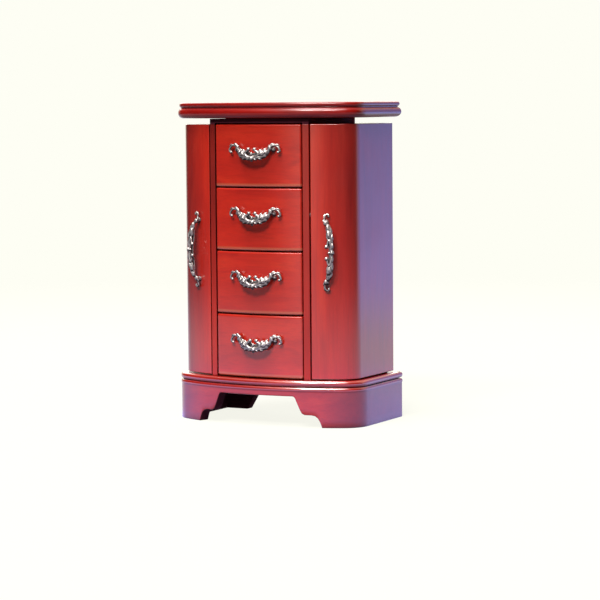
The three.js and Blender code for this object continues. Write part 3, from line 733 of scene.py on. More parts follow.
def makeVelvet(name, nap, crushed, tuftScale):
    look = velvetLook
    material, tree = newMaterial(name)
    pile = useGroup(tree, pileGroup, {"Tuft Scale": tuftScale, "Patch Scale": look["patchScale"]})
    tone = ramp(tree, pile["Patches"], list(zip(look["patchAt"], (crushed, nap))))
    tufts = ramp(tree, pile["Tufts"], look["tuftTone"])
    tone = mixColour(tree, look["tuftAmount"], tone, tufts, "MULTIPLY")
    # painted shade in the folds
    mask = creviceMask(tree, *look["crevice"])
    height = calc(tree, "MULTIPLY_ADD", pile["Patches"], look["patchHeight"], pile["Tufts"])
    return finishMaterial(material, {
        "Base Color": mixColour(tree, mask, tone, dimmed(crushed, look["creviceShare"])),
        "Roughness": look["roughness"],
        "Specular IOR Level": look["specular"],
        "Sheen Weight": look["sheen"],
        "Sheen Roughness": look["sheenRoughness"],
        "Sheen Tint": look["sheenTint"],
        "Normal": bump(tree, height, *look["bump"]),
    })


cherry = {kind: makeWood(f"cherry{kind}", changes) for kind, changes in cherryKinds.items()}
paintedShadeDark = makePaintedShadeDark()
drawerWood = makeWood("drawerWood", drawerWoodLook)
pewter = makePewter()
brass = makeMetal("agedBrass", (0.58, 0.37, 0.095, 1), (0.25, 0.150, 0.055, 1), 0.24, 900.0)
steel = makeMetal("catchSteel", (0.58, 0.58, 0.60, 1), (0.34, 0.34, 0.36, 1), 0.20, 1200.0)
mirrorGlass = makeMirror()
velvet = makeVelvet("ringVelvet", (0.150, 0.010, 0.022, 1), (0.075, 0.005, 0.012, 1), 2400.0)
felt = makeVelvet("liningFelt", (0.110, 0.008, 0.016, 1), (0.070, 0.005, 0.010, 1), 1900.0)
print("materials made")


# angles on one arc, with extra ones where the face crosses the given x values
def withMarks(angles, centreX, radius, marks):
    found = list(angles)
    for x in marks:
        share = (x - centreX) / radius
        if abs(share) < 1 and angles[0] + 1e-3 < down + math.asin(share) < angles[-1] - 1e-3:
            found.append(down + math.asin(share))
    return sorted(set(round(a, 6) for a in found))


# places round the plan: a point on the body's face, and the way it moves when the face is set off outwards
def planStations(marks=(), rearMarks=(), markOffset=0.0):
    rear = plan["rearEdge"] - plan["overhang"]
    shares = [i / plan["sideSteps"] for i in range(plan["sideSteps"])]
    leftSide = [((-plan["halfWidth"], rear + (cornerCentre.y - rear) * s), (-1, 1 - s)) for s in shares]
    rightSide = [((-x, y), (-dx, dy)) for (x, y), (dx, dy) in reversed(leftSide)]
    leftWing, leftCorner = Vector((-wingCentre.x, wingCentre.y)), Vector((-cornerCentre.x, cornerCentre.y))
    turns = (-math.pi, down - wingEnd, down - bowHalf, down + bowHalf, down + wingEnd, 0)
    front = []
    for number, (centre, kind) in enumerate((
            (leftCorner, "corner"), (leftWing, "wing"), (bowCentre, "bow"), (wingCentre, "wing"),
            (cornerCentre, "corner"))):
        start, end = turns[number:number + 2]
        radius, steps = plan[f"{kind}Radius"], plan[f"{kind}Steps"]
        angles = [start + (end - start) * i / steps for i in range(steps + 1)]
        if kind != "corner":
            angles = withMarks(angles, centre.x, radius + markOffset, marks)
        for angle in angles[1 if number else 0:]:
            way = (math.cos(angle), math.sin(angle))
            front.append(((centre.x + radius * way[0], centre.y + radius * way[1]), way))
    return leftSide + front + rightSide + [((x, rear), (0, 1)) for x in sorted(rearMarks, reverse=True)]


def stationPoint(station, offset):
    (x, y), (dx, dy) = station
    return x + dx * offset, y + dy * offset


# one loop round the plan; z is one height or a list of them
def planLoop(stations, offset, z):
    heights = z if isinstance(z, list) else [z] * len(stations)
    return [(*stationPoint(s, offset), height) for s, height in zip(stations, heights)]


# section of a moulded bead: two arcs with a straight part between their centres' heights
def beadSection(middle, radius, lowCentre, highCentre, start, end, steps):
    section = arcPoints((middle, lowCentre), radius, start, 0, steps[0])
    return section + arcPoints((middle, highCentre), radius, 0, end, steps[1])


baseShape = {
    "faceOffset": 8.5,
    "wall": 14.5,
    "beadLow": 43.0,
    "archHeight": 38.5,
    "footEdge": 87.0,
    "rearArch": 64.0,
    "chamfer": 0.9,
    "faceRows": (0.25, 0.5, 0.75, 1.0),
    "beadLap": 0.2,
    "seam": 0.5,          # straight part between the two halves of a bead
    "tuck": 1.5,          # how far inside its bead the plinth's flat face begins
    # outline of the front cut-out, from the middle to the foot's inner end
    "archOutline": [(0, 38.5), (49.5, 38.5), (52, 38.1), (53.8, 36.2), (57, 28.6), (60, 21.6), (62.4, 17.4),
                    (65.5, 15.7), (74, 15.5), (78.5, 14.6), (82.0, 11.8), (84.4, 7.4), (86, 3.2), (87, 0)],
    "rearMarks": (120, 104, 87, 80, 72, 64, 40, 20),
    "plinthMarks": (100, 50, 0, -50, -100),
}


def lowerEdge(station):
    shape = baseShape
    x, y = stationPoint(station, shape["faceOffset"])
    x = abs(x)
    if x >= shape["footEdge"]:
        return 0.0
    if y > 0:
        span = shape["footEdge"] - shape["rearArch"]
        return shape["archHeight"] * min(1.0, (shape["footEdge"] - x) / span)
    outline = shape["archOutline"]
    for (x0, z0), (x1, z1) in zip(outline, outline[1:]):
        if x <= x1:
            return z0 + (z1 - z0) * (x - x0) / (x1 - x0)
    return 0.0


def makeApron():
    shape = baseShape
    marks = [sign * x for sign in (-1, 1) for x, z in shape["archOutline"][1:]]
    rearMarks = [sign * x for sign in (-1, 1) for x in shape["rearMarks"]]
    stations = planStations(marks, rearMarks, shape["faceOffset"])
    edge = [lowerEdge(s) for s in stations]
    face, top, chamfer, seam = shape["faceOffset"], baseLow.z, shape["chamfer"], shape["seam"]
    inner = face - shape["wall"]
    radius = (top - shape["beadLow"] - seam) / 2
    middle = plan["overhang"] - radius
    meet = math.acos((face - middle) / radius)
    bead = beadSection(middle, radius, top - radius - seam, top - radius, -meet, math.pi / 2, (4, 8))
    eased, faceTop = chamfer * chamferMiddle, shape["beadLow"] + shape["beadLap"]
    lower = [planLoop(stations, offset, [z + rise for z in edge]) for rise, offset in (
        (0, face - chamfer), (eased, face - eased), (chamfer, face))]
    for share in shape["faceRows"]:
        heights = [z + chamfer + (faceTop - z - chamfer) * share for z in edge]
        lower.append(planLoop(stations, face, heights))
    upper = [planLoop(stations, offset, z) for offset, z in bead]
    hidden = [planLoop(stations, inner, top), planLoop(stations, inner, [z + chamfer for z in edge]),
              planLoop(stations, inner + chamfer, edge)]
    apron = addPiece("base_apron", loftLoops(lower + upper + hidden, closed=True),
                     [cherry["Base"], cherry["Plinth"], paintedShadeDark],
                     ("carcass", "cherry_lacquer", "base_front", "base_side_left", "base_side_right",
                      "base_back"), sharp=38)
    # faces follow the loops upwards: the face, its bead, then what gets the near-black painted shade
    for number, polygon in enumerate(apron.data.polygons):
        loop = number // len(stations)
        polygon.material_index = (loop >= len(lower)) + (loop >= len(lower) + len(upper))


# plinth board above it, with its own bead
def makePlinth():
    stations = planStations(rearMarks=baseShape["plinthMarks"])
    radius = (baseHigh.z - baseLow.z - baseShape["seam"]) / 2
    middle = plan["overhang"] - radius
    edge = beadSection(middle, radius, baseLow.z + radius, baseHigh.z - radius, down, math.pi / 2, (8, 8))
    flat = middle - baseShape["tuck"]
    rings = [planLoop(stations, offset, z) for offset, z in [(flat, baseLow.z), *edge, (flat, baseHigh.z)]]
    addPiece("base_plinth", loftLoops(rings), [cherry["Plinth"]],
             ("carcass", "cherry_lacquer", "base_top"), sharp=50)


makeApron()
makePlinth()
print("base made")


columnShape = {"stile": 9.0, "neck": 7.0, "edge": 0.6}


# a lacquered stile with a neck in near-black painted shade above it, in front of a plain board
def makeColumn(side):
    outerY, innerY = (plan["frontY"] + plan["bowRadius"] - math.sqrt(plan["bowRadius"] ** 2 - x ** 2)
                      for x in (columnHigh.x, columnLow.x))
    split = outerY + columnShape["stile"]
    shoulder = columnHigh.z - columnShape["neck"]
    front = [(columnLow.x, innerY), (columnHigh.x, outerY), (columnHigh.x, split), (columnLow.x, split)]
    rear = rectangle((columnLow.x, split), columnHigh)
    boards = (("stile", front, columnLow.z, shoulder, cherry[f"Stile{side.title()}"]),
              ("neck", front, shoulder, columnHigh.z, paintedShadeDark),
              ("board", rear, columnLow.z, columnHigh.z, cherry["Inside"]))
    for part, outline, low, high, material in boards:
        addPiece(f"column_{side}_{part}", forSide(side, prism(outline, low, high)), [material],
                 ("carcass", "cherry_lacquer", f"column_side_{side}"), edge=columnShape["edge"])


for side in sides:
    makeColumn(side)
print("columns made")


lidShape = {
    "lowerRadius": 6.5,
    "upperRadius": 2.9,
    "upperOffset": 7.4,
    "seam": 0.3,          # straight part between the two halves of a bead
    "tuck": 1.5,          # how far inside its bead a flat face begins
    "grooveOffset": 5.5,
    "grooveZ": 13.35,
    "grooveEase": (0.15, -0.3),
    "intoGroove": 62,     # degrees that the lower bead turns towards the groove
    "outOfGroove": -68,
    "rearMarks": (110, 66, 22, -22, -66, -110),
    "shadedSideFacing": 0.85,   # faces that look this much to the right get the darker side copy, painted shade
    "mirrorMargin": 0.3,
    "rebateDepth": 3.0,
    "mortiseDepth": 2.3,
    "mortiseHalf": 12.05,
    "cutBeyond": 5.0,
    "trimWidth": 3.0,
    "trimDrop": 1.1,
    "trimOver": 1.0,      # how far the beading reaches over the mirror's edge
    "trimLift": 0.02,
    # section of the beading: shares of its width and of its drop
    "trimSection": [(0, 0), (1, 0), (0.92, -0.55), (0.6, -1), (0.3, -1), (0.12, -0.6)],
}


def carve(piece, boxes):
    cutters = []
    for low, high in boxes:
        shape = prism(rectangle(low, high), low[2], high[2])
        cutters.append(addObject("cutter", newMesh("cutter", shape, 0)))
        addModifier(piece, "carve", "BOOLEAN", operation="DIFFERENCE", solver="EXACT", object=cutters[-1])
    applyModifiers(piece)
    for cutter in cutters:
        bpy.data.objects.remove(cutter)


def makeLid():
    shape = lidShape
    low, high, seam, tuck = lidLow.z, lidHigh.z, shape["seam"], shape["tuck"]
    intoGroove, outOfGroove = (math.radians(shape[key]) for key in ("intoGroove", "outOfGroove"))
    radius, middle = shape["lowerRadius"], plan["overhang"] - shape["lowerRadius"]
    edge = [(middle - tuck, low)]
    edge += beadSection(middle, radius, low + radius, low + radius + seam, down, intoGroove, (9, 8))
    groove, grooveZ = shape["grooveOffset"], low + shape["grooveZ"]
    out, rise = shape["grooveEase"]
    edge += [(groove + out, grooveZ + rise), (groove, grooveZ)]
    radius, middle = shape["upperRadius"], shape["upperOffset"] - shape["upperRadius"]
    crown = high - radius
    edge += beadSection(middle, radius, crown - seam, crown, outOfGroove, math.pi / 2, (7, 10))
    edge.append((middle - tuck, high))
    stations = planStations(rearMarks=shape["rearMarks"])
    rings = [planLoop(stations, offset, z) for offset, z in edge]
    board = addPiece("lid_top", loftLoops(rings), [cherry["Lid"]], sharp=50)
    mirrorLow, mirrorHigh = nodeBox("lid_mirror")
    gap, beyond = shape["mirrorMargin"], shape["cutBeyond"]
    boxes = [((mirrorLow.x - gap, mirrorLow.y - gap, low - beyond),
              (mirrorHigh.x + gap, mirrorHigh.y + gap, low + shape["rebateDepth"]))]
    for side in sides:
        leafLow, leafHigh = nodeBox(f"lid_hinge_{side}_leaf")
        centre, half = (leafLow.x + leafHigh.x) / 2, shape["mortiseHalf"]
        boxes.append(((centre - half, leafLow.y - gap, low - beyond),
                      (centre + half, lidHigh.y + beyond, low + shape["mortiseDepth"])))
    carve(board, boxes)
    finishMesh(board.data, 40)
    # painted shade on the lid's right-facing side
    board.data.materials.append(cherry["LidShadedSide"])
    for face in board.data.polygons:
        face.material_index = int(face.normal.x > shape["shadedSideFacing"])
    mount(board, "lid", "cherry_lacquer", "lid_board")
    # thin beading that holds the mirror in
    loops = []
    for share, drop in shape["trimSection"]:
        grow = (share - 1) * shape["trimWidth"] + shape["trimOver"]
        z = low + drop * shape["trimDrop"] + shape["trimLift"]
        loops.append([(x + math.copysign(1, x) * grow, y + math.copysign(1, y) * grow, z)
                      for x, y in rectangle(mirrorLow, mirrorHigh)])
    addPiece("mirror_beading", loftLoops(loops, closed=True), [cherry["Across"]],
             ("lid", "cherry_lacquer"), sharp=30)


makeLid()
print("lid made")


doorShape = {"thickness": 8.0, "edgeRound": 0.9, "outerSteps": (26, 22), "innerSteps": (16, 20)}


def wingAngle(radius, x):
    return down + math.asin((x - wingCentre.x) / radius)


# points along the outside of a door in plan, then those along its inside
def doorOutline():
    thick, corner, bend = doorShape["thickness"], plan["cornerRadius"], down + wingEnd
    radius, edge = plan["wingRadius"], plan["doorEdge"]
    wing, turn = doorShape["outerSteps"]
    outer = arcPoints(wingCentre, radius, wingAngle(radius, edge), bend, wing)
    outer += arcPoints(cornerCentre, corner, bend, 0, turn)[1:] + [(plan["halfWidth"], plan["rearY"])]
    turn, wing = doorShape["innerSteps"]
    inner = [(plan["halfWidth"] - thick, plan["rearY"])]
    inner += arcPoints(cornerCentre, corner - thick, 0, bend, turn)
    inner += arcPoints(wingCentre, radius - thick, bend, wingAngle(radius - thick, edge), wing)[1:]
    return outer, inner


def makeDoorShell(side):
    outer, inner = doorOutline()
    shell = addPiece(f"door_{side}_panel", forSide(side, prism(outer + inner, doorLow.z, doorHigh.z)),
                     [cherry[f"Wing{side.title()}"], cherry["Inside"]],
                     (f"door_{side}", "cherry_lacquer", f"door_{side}_shell"), edge=doorShape["edgeRound"])
    for face in shell.data.polygons[len(outer):-3]:  # past the inside come the front edge and the two ends
        face.material_index = 1


for side in sides:
    makeDoorShell(side)
print("doors made")


drawerShape = {
    "edgeRound": 2.2,
    "frontSteps": 44,
    "wall": 5.0,
    "floor": 4.0,
    "lining": 0.7,
    "liningGap": 0.25,
    "belowRim": 3.0,
}


# felt on the floor and walls of a tub, open at the top
def tubLining(name, low, high, body):
    thick = drawerShape["lining"]
    outer = rectangle(low, high)
    inner = rectangle((low[0] + thick, low[1] + thick), (high[0] - thick, high[1] - thick))
    loops = [[(x, y, z) for x, y in outline] for outline, z in (
        (outer, low[2]), (outer, high[2]), (inner, high[2]), (inner, low[2] + thick))]
    addPiece(name, loftLoops(loops), [felt], (body, "velvet"), edge=0.25, segments=2)


def makeDrawer(number):
    body = f"drawer_{number}"
    low, high = nodeBox(f"{body}_front")
    half = math.asin(high.x / plan["bowRadius"])
    outline = arcPoints(bowCentre, plan["bowRadius"], down - half, down + half, drawerShape["frontSteps"])
    outline += [(high.x, high.y), (low.x, high.y)]
    addPiece(f"{body}_face", prism(outline, low.z, high.z), [cherry["Drawer"]],
             (body, "cherry_lacquer", f"{body}_front"), edge=drawerShape["edgeRound"], segments=5)
    low, high = nodeBox(f"{body}_box")
    gap, wall = drawerShape["liningGap"], drawerShape["wall"]
    tubLining(f"{body}_lining", (low.x + wall + gap, low.y + wall + gap, low.z + drawerShape["floor"] + gap),
              (high.x - wall - gap, high.y - wall - gap, high.z - drawerShape["belowRim"]), body)


for number in range(1, 5):
    makeDrawer(number)
print("drawers made")


pullShape = {
    "out": -10.3,       # how far the middle of the casting stands off the wood
    "bodyHalf": 19.5,   # half length of the leafy middle, before it is stretched
    "footHeight": 2.1,
    "voxel": 0.38,
    "seat": -0.02,
    "sunk": 0.7815,     # from the middle of the bow to the face that the feet stand on
    "webBack": 3.6,
    "webBow": 1.6,
    "webThick": 1.3,
    # post and collar of a foot: place from the foot's middle, then radius
    "post": [(0, -0.5, 0, 2.7), (-0.6, -2.4, 0.3, 1.9), (-1.6, -4.2, 1.2, 1.7)],
    "collar": [(0, -0.6, 0, 3.3), (0, -0.95, 0, 3.1)],
}
drawerPull = {"bodyStretch": 1.0, "earStretch": 1.0, "tall": 1.0, "foot": 25.0, "lift": 5.5}
doorPull = {"bodyStretch": 1.70, "earStretch": 0.90, "tall": 0.60, "foot": 37.0, "x": 92.0, "height": 216.0,
            "standOff": 0.1}

# half of the casting drawn flat: length along x, drooping towards -z, y measured from the middle's plane
# a bar is its points, radii and number of sides; a lobe is its centre, radii, tilt in degrees and the
# directions in which it keeps its size when the casting is stretched
pullEar = [
    # crescent that carries everything
    ([(0, 0, -7.6), (7.0, 0.3, -7.5), (13.6, 1.6, -6.2), (18.2, 3.6, -3.2), (20.6, 4.9, 0.4),
      (22.4, 5.3, 3.8)], [2.8, 2.9, 2.9, 2.7, 2.3, 2.1], 12),
    # ear arching up and over, its end curled in
    ([(18.5, 4.4, -3.4), (20.8, 4.9, 0.8), (22.5, 5.3, 4.4), (25.0, 5.7, 6.9), (28.8, 6.1, 7.4),
      (32.4, 6.7, 5.8), (34.7, 7.2, 2.8), (34.7, 7.6, -0.2), (33.2, 7.6, -1.6)],
     [1.8, 2.3, 2.4, 1.9, 1.35, 1.35, 1.5, 1.5, 1.1], 10),
    ((32.8, 7.1, -1.0), (1.7, 1.4, 1.7), 0, ""),
    ((22.6, 4.3, 4.6), (2.3, 1.6, 3.6), 20, ""),
    ([(23.6, 4.7, 7.6), (26.0, 5.3, 9.4), (28.6, 6.1, 9.0)], [1.3, 1.1, 0.45], 8),
    ([(29.6, 5.7, 8.2), (32.8, 6.4, 8.2), (35.4, 7.3, 6.2)], [0.9, 0.95, 0.4], 8),
]
pullLeaves = [
    # open scroll with a bead on top
    ([(0.8, -0.8, -8.0), (4.4, -1.0, -7.2), (8.0, -0.8, -5.0), (9.0, -0.6, -2.4), (7.6, -0.8, -0.2),
      (5.2, -1.1, 0.6)], [1.5, 1.8, 2.0, 1.9, 1.6, 1.4], 10),
    ((4.3, -0.9, 2.5), (2.5, 2.0, 2.4), 0, "xz"),
    # leaves outside the scroll
    ((12.8, 0.3, -2.6), (4.5, 2.6, 4.3), 24, ""),
    ((17.6, 2.2, -1.0), (3.6, 2.3, 3.6), 30, ""),
    ([(9.8, -1.6, -5.2), (12.6, -2.1, -2.8), (14.4, -0.6, 0.6)], [0.4, 0.8, 0.35], 8),
    ([(14.8, 0.4, -3.8), (17.3, 0.0, -1.2), (18.8, 1.4, 1.6)], [0.4, 0.75, 0.35], 8),
    ([(9.6, -0.2, -0.6), (11.4, -0.2, 1.6), (13.6, 0.8, 3.0)], [1.3, 1.1, 0.4], 8),
    ([(14.4, 1.6, 0.4), (16.6, 2.0, 2.8), (19.0, 3.2, 4.0)], [1.2, 1.0, 0.4], 8),
    # scalloped lower edge
    ((4.8, -0.5, -9.0), (3.4, 2.1, 2.4), 4, ""),
    ((10.8, 0.5, -8.4), (3.5, 2.1, 2.5), 14, ""),
    ((16.4, 2.3, -6.0), (3.2, 2.0, 2.4), 32, ""),
    ([(2.6, -2.1, -7.6), (5.0, -2.5, -9.6), (7.0, -1.6, -10.8)], [0.35, 0.7, 0.3], 8),
    ([(8.4, -1.4, -7.0), (11.2, -1.5, -9.0), (13.6, 0.2, -10.0)], [0.35, 0.7, 0.3], 8),
]
# bud between the scrolls, broad drop below it
pullMiddle = [
    ((0, -1.3, -3.2), (1.7, 1.7, 2.6), 0, "x"),
    ((0, -1.9, -8.8), (2.7, 1.8, 2.6), 0, "x"),
    ((0, -0.6, -11.6), (1.9, 1.8, 1.5), 0, ""),
]
# web behind the leaves: x, its lower edge and its upper edge
pullWeb = [(18.8, -3.4, 0.4), (14.0, -7.0, 1.6), (9.4, -9.0, 1.2), (6.0, -9.8, 0.6), (2.6, -10.4, -1.6),
           (0, -10.6, -2.2)]


def pullParts(style):
    out, bodyHalf, tall = pullShape["out"], pullShape["bodyHalf"], style["tall"]
    wide, slim = 0.5 + 0.5 * style["bodyStretch"], 0.4 + 0.6 * tall
    parts = []

    def lay(side, x, y, z):
        if x < bodyHalf:
            x *= style["bodyStretch"]
        else:
            x = bodyHalf * style["bodyStretch"] + (x - bodyHalf) * style["earStretch"]
        return Vector((side * x, out + y, z * tall))

    def draw(side, items):
        for place, radii, *rest in items:
            if isinstance(place, list):
                line = splinePoints([lay(side, *p) for p in place], 6)
                parts.append(tube(line, [r * slim for r in splineValues(radii, 6)], *rest))
            else:
                tilt, steady = rest
                size = (radii[0] * (1 if "x" in steady else wide), radii[1],
                        radii[2] * (1 if "z" in steady else slim))
                parts.append(blob(lay(side, *place), size, -side * tilt * tall))

    foot, rise = style["foot"], pullShape["footHeight"]
    for side in (-1, 1):
        draw(side, pullEar)
        for bar, around in ((pullShape["post"], 14), (pullShape["collar"], 16)):
            line = [(side * (foot + x), y, rise + z) for x, y, z, radius in bar]
            parts.append(tube(line, [radius for x, y, z, radius in bar], around))
        draw(side, pullLeaves)
    # the web is set back, so the gaps between the leaves read as dark hollows
    loops = []
    for side, (x, bottom, top) in [(-1, w) for w in pullWeb[:-1]] + [(1, w) for w in reversed(pullWeb)]:
        back = pullShape["webBack"] + pullShape["webBow"] * (x / bodyHalf) ** 2
        front = back - pullShape["webThick"]
        loops.append([lay(side, x, y, z) for y, z in rectangle((front, bottom), (back, top))])
    parts.append(loftLoops(loops))
    draw(1, pullMiddle)
    return parts


def castMesh(name, style):
    rough = addPiece("casting", newMesh(name, joinParts(pullParts(style)), 0), [pewter])
    addModifier(rough, "remesh", "REMESH", mode="VOXEL", voxel_size=pullShape["voxel"] * mm,
                use_smooth_shade=True)
    addModifier(rough, "smooth", "SMOOTH", factor=0.5, iterations=2)
    applyModifiers(rough)
    mesh = rough.data
    bpy.data.objects.remove(rough)
    mesh.name = name
    for v in mesh.vertices:  # flat where it sits on the wood
        v.co.y = min(v.co.y, pullShape["seat"] * mm)
    mesh.shade_smooth()
    return mesh


def makeDrawerPulls():
    casting = castMesh("drawerCasting", drawerPull)
    face = plan["frontY"] + pullShape["sunk"]
    for number in range(1, 5):
        low, high = nodeBox(f"drawer_{number}_front")
        pull = addPiece(f"drawer_{number}_handle", casting, [pewter])
        pull.location = Vector((0, face, (low.z + high.z) / 2 + drawerPull["lift"])) * mm
        mount(pull, f"drawer_{number}", "antique_pewter", f"drawer_{number}_pull")


doorPullTurn = wingAngle(plan["wingRadius"], doorPull["x"]) - down


def makeDoorPulls():
    casting = castMesh("doorCasting", doorPull)
    standing = Matrix(((0, 0, -1, 0), (0, 1, 0, 0), (1, 0, 0, 0), (0, 0, 0, 1)))
    face = wingCentre.y - plan["wingRadius"] * math.cos(doorPullTurn)
    place = Vector((doorPull["x"], face, doorPull["height"])) * mm
    place -= Vector((-math.sin(doorPullTurn), math.cos(doorPullTurn), 0)) * doorPull["standOff"] * mm
    casting.transform(Matrix.Translation(place) @ Matrix.Rotation(doorPullTurn, 4, "Z") @ standing)
    mirrored = casting.copy()
    mirrored.transform(Matrix.Scale(-1, 4, (1, 0, 0)))
    mirrored.flip_normals()
    for side, mesh in (("right", casting), ("left", mirrored)):
        addPiece(f"door_{side}_handle", mesh, [pewter],
                 (f"door_{side}", "antique_pewter", f"door_{side}_pull"))


makeDrawerPulls()
makeDoorPulls()
print("pulls made")


# lets a closed pad fill out like stuffed cloth where it isn't held down
def fillPad(pad, look, low, high, isHeld):
    addModifier(pad, "remesh", "REMESH", mode="VOXEL", voxel_size=look["voxel"] * mm)
    applyModifiers(pad)
    starts = [v.co.copy() for v in pad.data.vertices]
    held = pad.vertex_groups.new(name="held")
    held.add([i for i, point in enumerate(starts) if isHeld(point / mm)], 1.0, "REPLACE")
    cloth = pad.modifiers.new("stuffing", "CLOTH")
    setAll(cloth.settings, quality=6, mass=look["mass"], vertex_group_mass="held", use_pressure=True,
           uniform_pressure_force=look["pressure"], shrink_min=-look["slack"],
           bending_stiffness=look["bending"])
    cloth.settings.effector_weights.gravity = 0
    cloth.collision_settings.use_collision = False
    setAll(cloth.point_cache, frame_start=1, frame_end=look["frames"])
    for number in range(1, look["frames"] + 1):
        scene.frame_set(number)
    applyModifiers(pad)
    pad.vertex_groups.clear()
    scene.frame_set(1)
    cap = look["cap"] * mm
    for vertex, start in zip(pad.data.vertices, starts):
        step = vertex.co - start
        if step.length > cap:
            step *= cap / step.length
        vertex.co = [min(max(v, a * mm), b * mm) for v, a, b in zip(start + step, low, high)]
    addModifier(pad, "ease", "SMOOTH", factor=0.5, iterations=2)
    addModifier(pad, "finer", "SUBSURF", levels=1, render_levels=1)
    applyModifiers(pad)
    pad.data.shade_smooth()


# smooth random value between -1 and 1 on a surface
def wander(across, along, scale):
    return noise.noise(Vector((across * scale[0], along * scale[1], scale[2])))


rollShape = {
    "count": 6,
    "endRound": 6.0,
    "endHeight": 0.45,  # share of the height left at the very ends
    "crease": 6.5,      # how high the sewn valleys lie
    "crown": 16.6,
    "inset": 0.9,
    "lift": 0.2,
    "unevenness": 0.3,
    "unevenAt": (0.09, 0.05, 3.1),
    "sewnBelow": 0.36,  # the stitching holds the valleys up to this share of a roll's bulge
    "heldBelow": 2.5,
    "steps": (44, 132),
    "fill": 0.85,
    "voxel": 1.7,
    "mass": 0.02,
    "pressure": 16.0,
    "slack": 0.035,
    "bending": 0.25,
    "frames": 20,
    "cap": 1.9,
}


# padded velvet sewn down between its rolls
def makeRingRolls():
    shape = rollShape
    low, high = nodeBox("ring_cushion")
    pitch = (high.y - low.y) / shape["count"]
    inset, bottom = shape["inset"], low.z + shape["lift"]
    stepsX, stepsY = shape["steps"]

    def fromValley(y):
        share = ((y - low.y) % pitch) / pitch * 2 - 1
        return math.sqrt(max(0.0, 1 - share * share))

    loops = []
    for i in range(stepsX + 1):
        x = low.x + inset + (high.x - low.x - 2 * inset) * i / stepsX
        fromEnd = min(1.0, min(x - low.x, high.x - x) / shape["endRound"])
        size = shape["endHeight"] + (1 - shape["endHeight"]) * math.sqrt(1 - (1 - fromEnd) ** 2)
        top = []
        for j in range(stepsY + 1):
            y = low.y + inset + (high.y - low.y - 2 * inset) * j / stepsY
            rise = shape["crease"] + (shape["crown"] - shape["crease"]) * fromValley(y)
            rise += shape["unevenness"] * wander(x, y, shape["unevenAt"])
            top.append((x, y, bottom + rise * size))
        loops.append(top + [(x, v[1], bottom) for v in reversed(top)])
    rolls = addPiece("ring_rolls", loftLoops(loops), [velvet], ("carcass", "velvet", "ring_cushion"), sharp=0)
    fillPad(rolls, rollShape, low, high,
            lambda p: p.z < low.z + shape["heldBelow"] or fromValley(p.y) < shape["sewnBelow"])


pouchShape = {
    "pleats": 9,
    "sheet": 0.6,
    "across": 150,
    "up": 44,
    "squareness": 0.62,   # 1 for an oval mouth, less for a boxier one
    "standOff": 0.5,
    "margin": 0.8,
    "bottomReach": 0.35,
    "bottomLength": 0.6,
    "bottomDrop": 0.3,
    "bottomRise": 0.5,    # of its middle, where it meets the panel
    # how far the bag and its pleats stand out, from the bottom to the rim
    "reachAt": [(0.0, 0.30), (0.05, 0.62), (0.14, 0.86), (0.34, 0.95), (0.6, 0.88), (0.82, 0.74),
                (0.90, 0.66), (0.94, 0.72), (1.0, 0.82)],
    "pleatAt": [(0.0, 1.3), (0.12, 0.8), (0.4, 0.35), (0.7, 0.6), (0.9, 1.1), (0.94, 1.3), (1.0, 1.9)],
    "sway": 1.3,          # how unevenly the pleats are spaced
    "swayAt": (5, 2, 0.4),
    "waver": 0.35,        # how unevenly deep they are
    "waverAt": (9, 3, 4.7),
    "flatEnds": 2.2,      # how soon they begin beside the panel
    "sideways": 0.5,
    "narrowed": 0.985,
    "ruffle": 0.5,
    "ruffleFrom": 0.92,
    "flatWidth": 0.15,    # metres
}


# value at t from a table of places and values, eased between them
def alongTable(table, t):
    for (t0, v0), (t1, v1) in zip(table, table[1:]):
        if t <= t1:
            share = (t - t0) / (t1 - t0)
            return v0 + (v1 - v0) * share * share * (3 - 2 * share)
    return table[-1][1]


def makePouch(side):
    shape = pouchShape
    low, high = nodeBox("door_right_pouch")
    middle, half = (high.y + low.y) / 2, (high.y - low.y) / 2
    back, margin, boxy = high.x - shape["standOff"], shape["margin"], shape["squareness"]
    across, up = shape["across"], shape["up"]
    verts, faces = [], []
    for j in range(up + 1):
        t = j / up
        reach = (high.x - low.x) * alongTable(shape["reachAt"], t)
        pleat = alongTable(shape["pleatAt"], t)
        for i in range(across + 1):
            u = i / across
            c, s = math.cos(math.pi * (1 - u)), math.sin(math.pi * (1 - u))
            y = half * abs(c) ** boxy * (1 if c > 0 else -1)
            x = reach * max(0.0, s) ** boxy
            sway = shape["sway"] * wander(u, t, shape["swayAt"])
            wave = math.cos(2 * math.pi * shape["pleats"] * u + sway)
            wave += shape["waver"] * wander(u, t, shape["waverAt"])
            push = pleat * wave * min(1.0, s * shape["flatEnds"])
            ruffle = shape["ruffle"] * math.sin(6 * u) * (t > shape["ruffleFrom"])
            y = middle + (y + push * c * shape["sideways"]) * shape["narrowed"]
            z = low.z + margin + (high.z - low.z - 2 * margin) * t + ruffle
            verts.append((back - max(0.0, x + push * s), y, z))
    for j in range(up):
        for i in range(across):
            a = j * (across + 1) + i
            faces.append((a, a + 1, a + across + 2, a + across + 1))
    # the bag's bottom, gathered to the panel
    start, length = len(verts), shape["bottomLength"]
    for x, y, z in verts[:across + 1]:
        x = back - (back - x) * shape["bottomReach"]
        verts.append((x, y * length + middle * (1 - length), z - shape["bottomDrop"]))
    verts.append((back, middle, low.z + shape["bottomRise"]))
    for i in range(across):
        faces.append((start + i, start + i + 1, i + 1, i))
        faces.append((len(verts) - 1, start + i + 1, start + i))
    pouch = addPiece(f"door_{side}_gathered_pouch", forSide(side, (verts, faces)), [velvet],
                     (f"door_{side}", "velvet", f"door_{side}_pouch"), sharp=0)
    addModifier(pouch, "sheetThickness", "SOLIDIFY", thickness=shape["sheet"] * mm, offset=0.0)


trayShape = {"gap": 0.3, "lift": 0.2, "belowRim": 2}


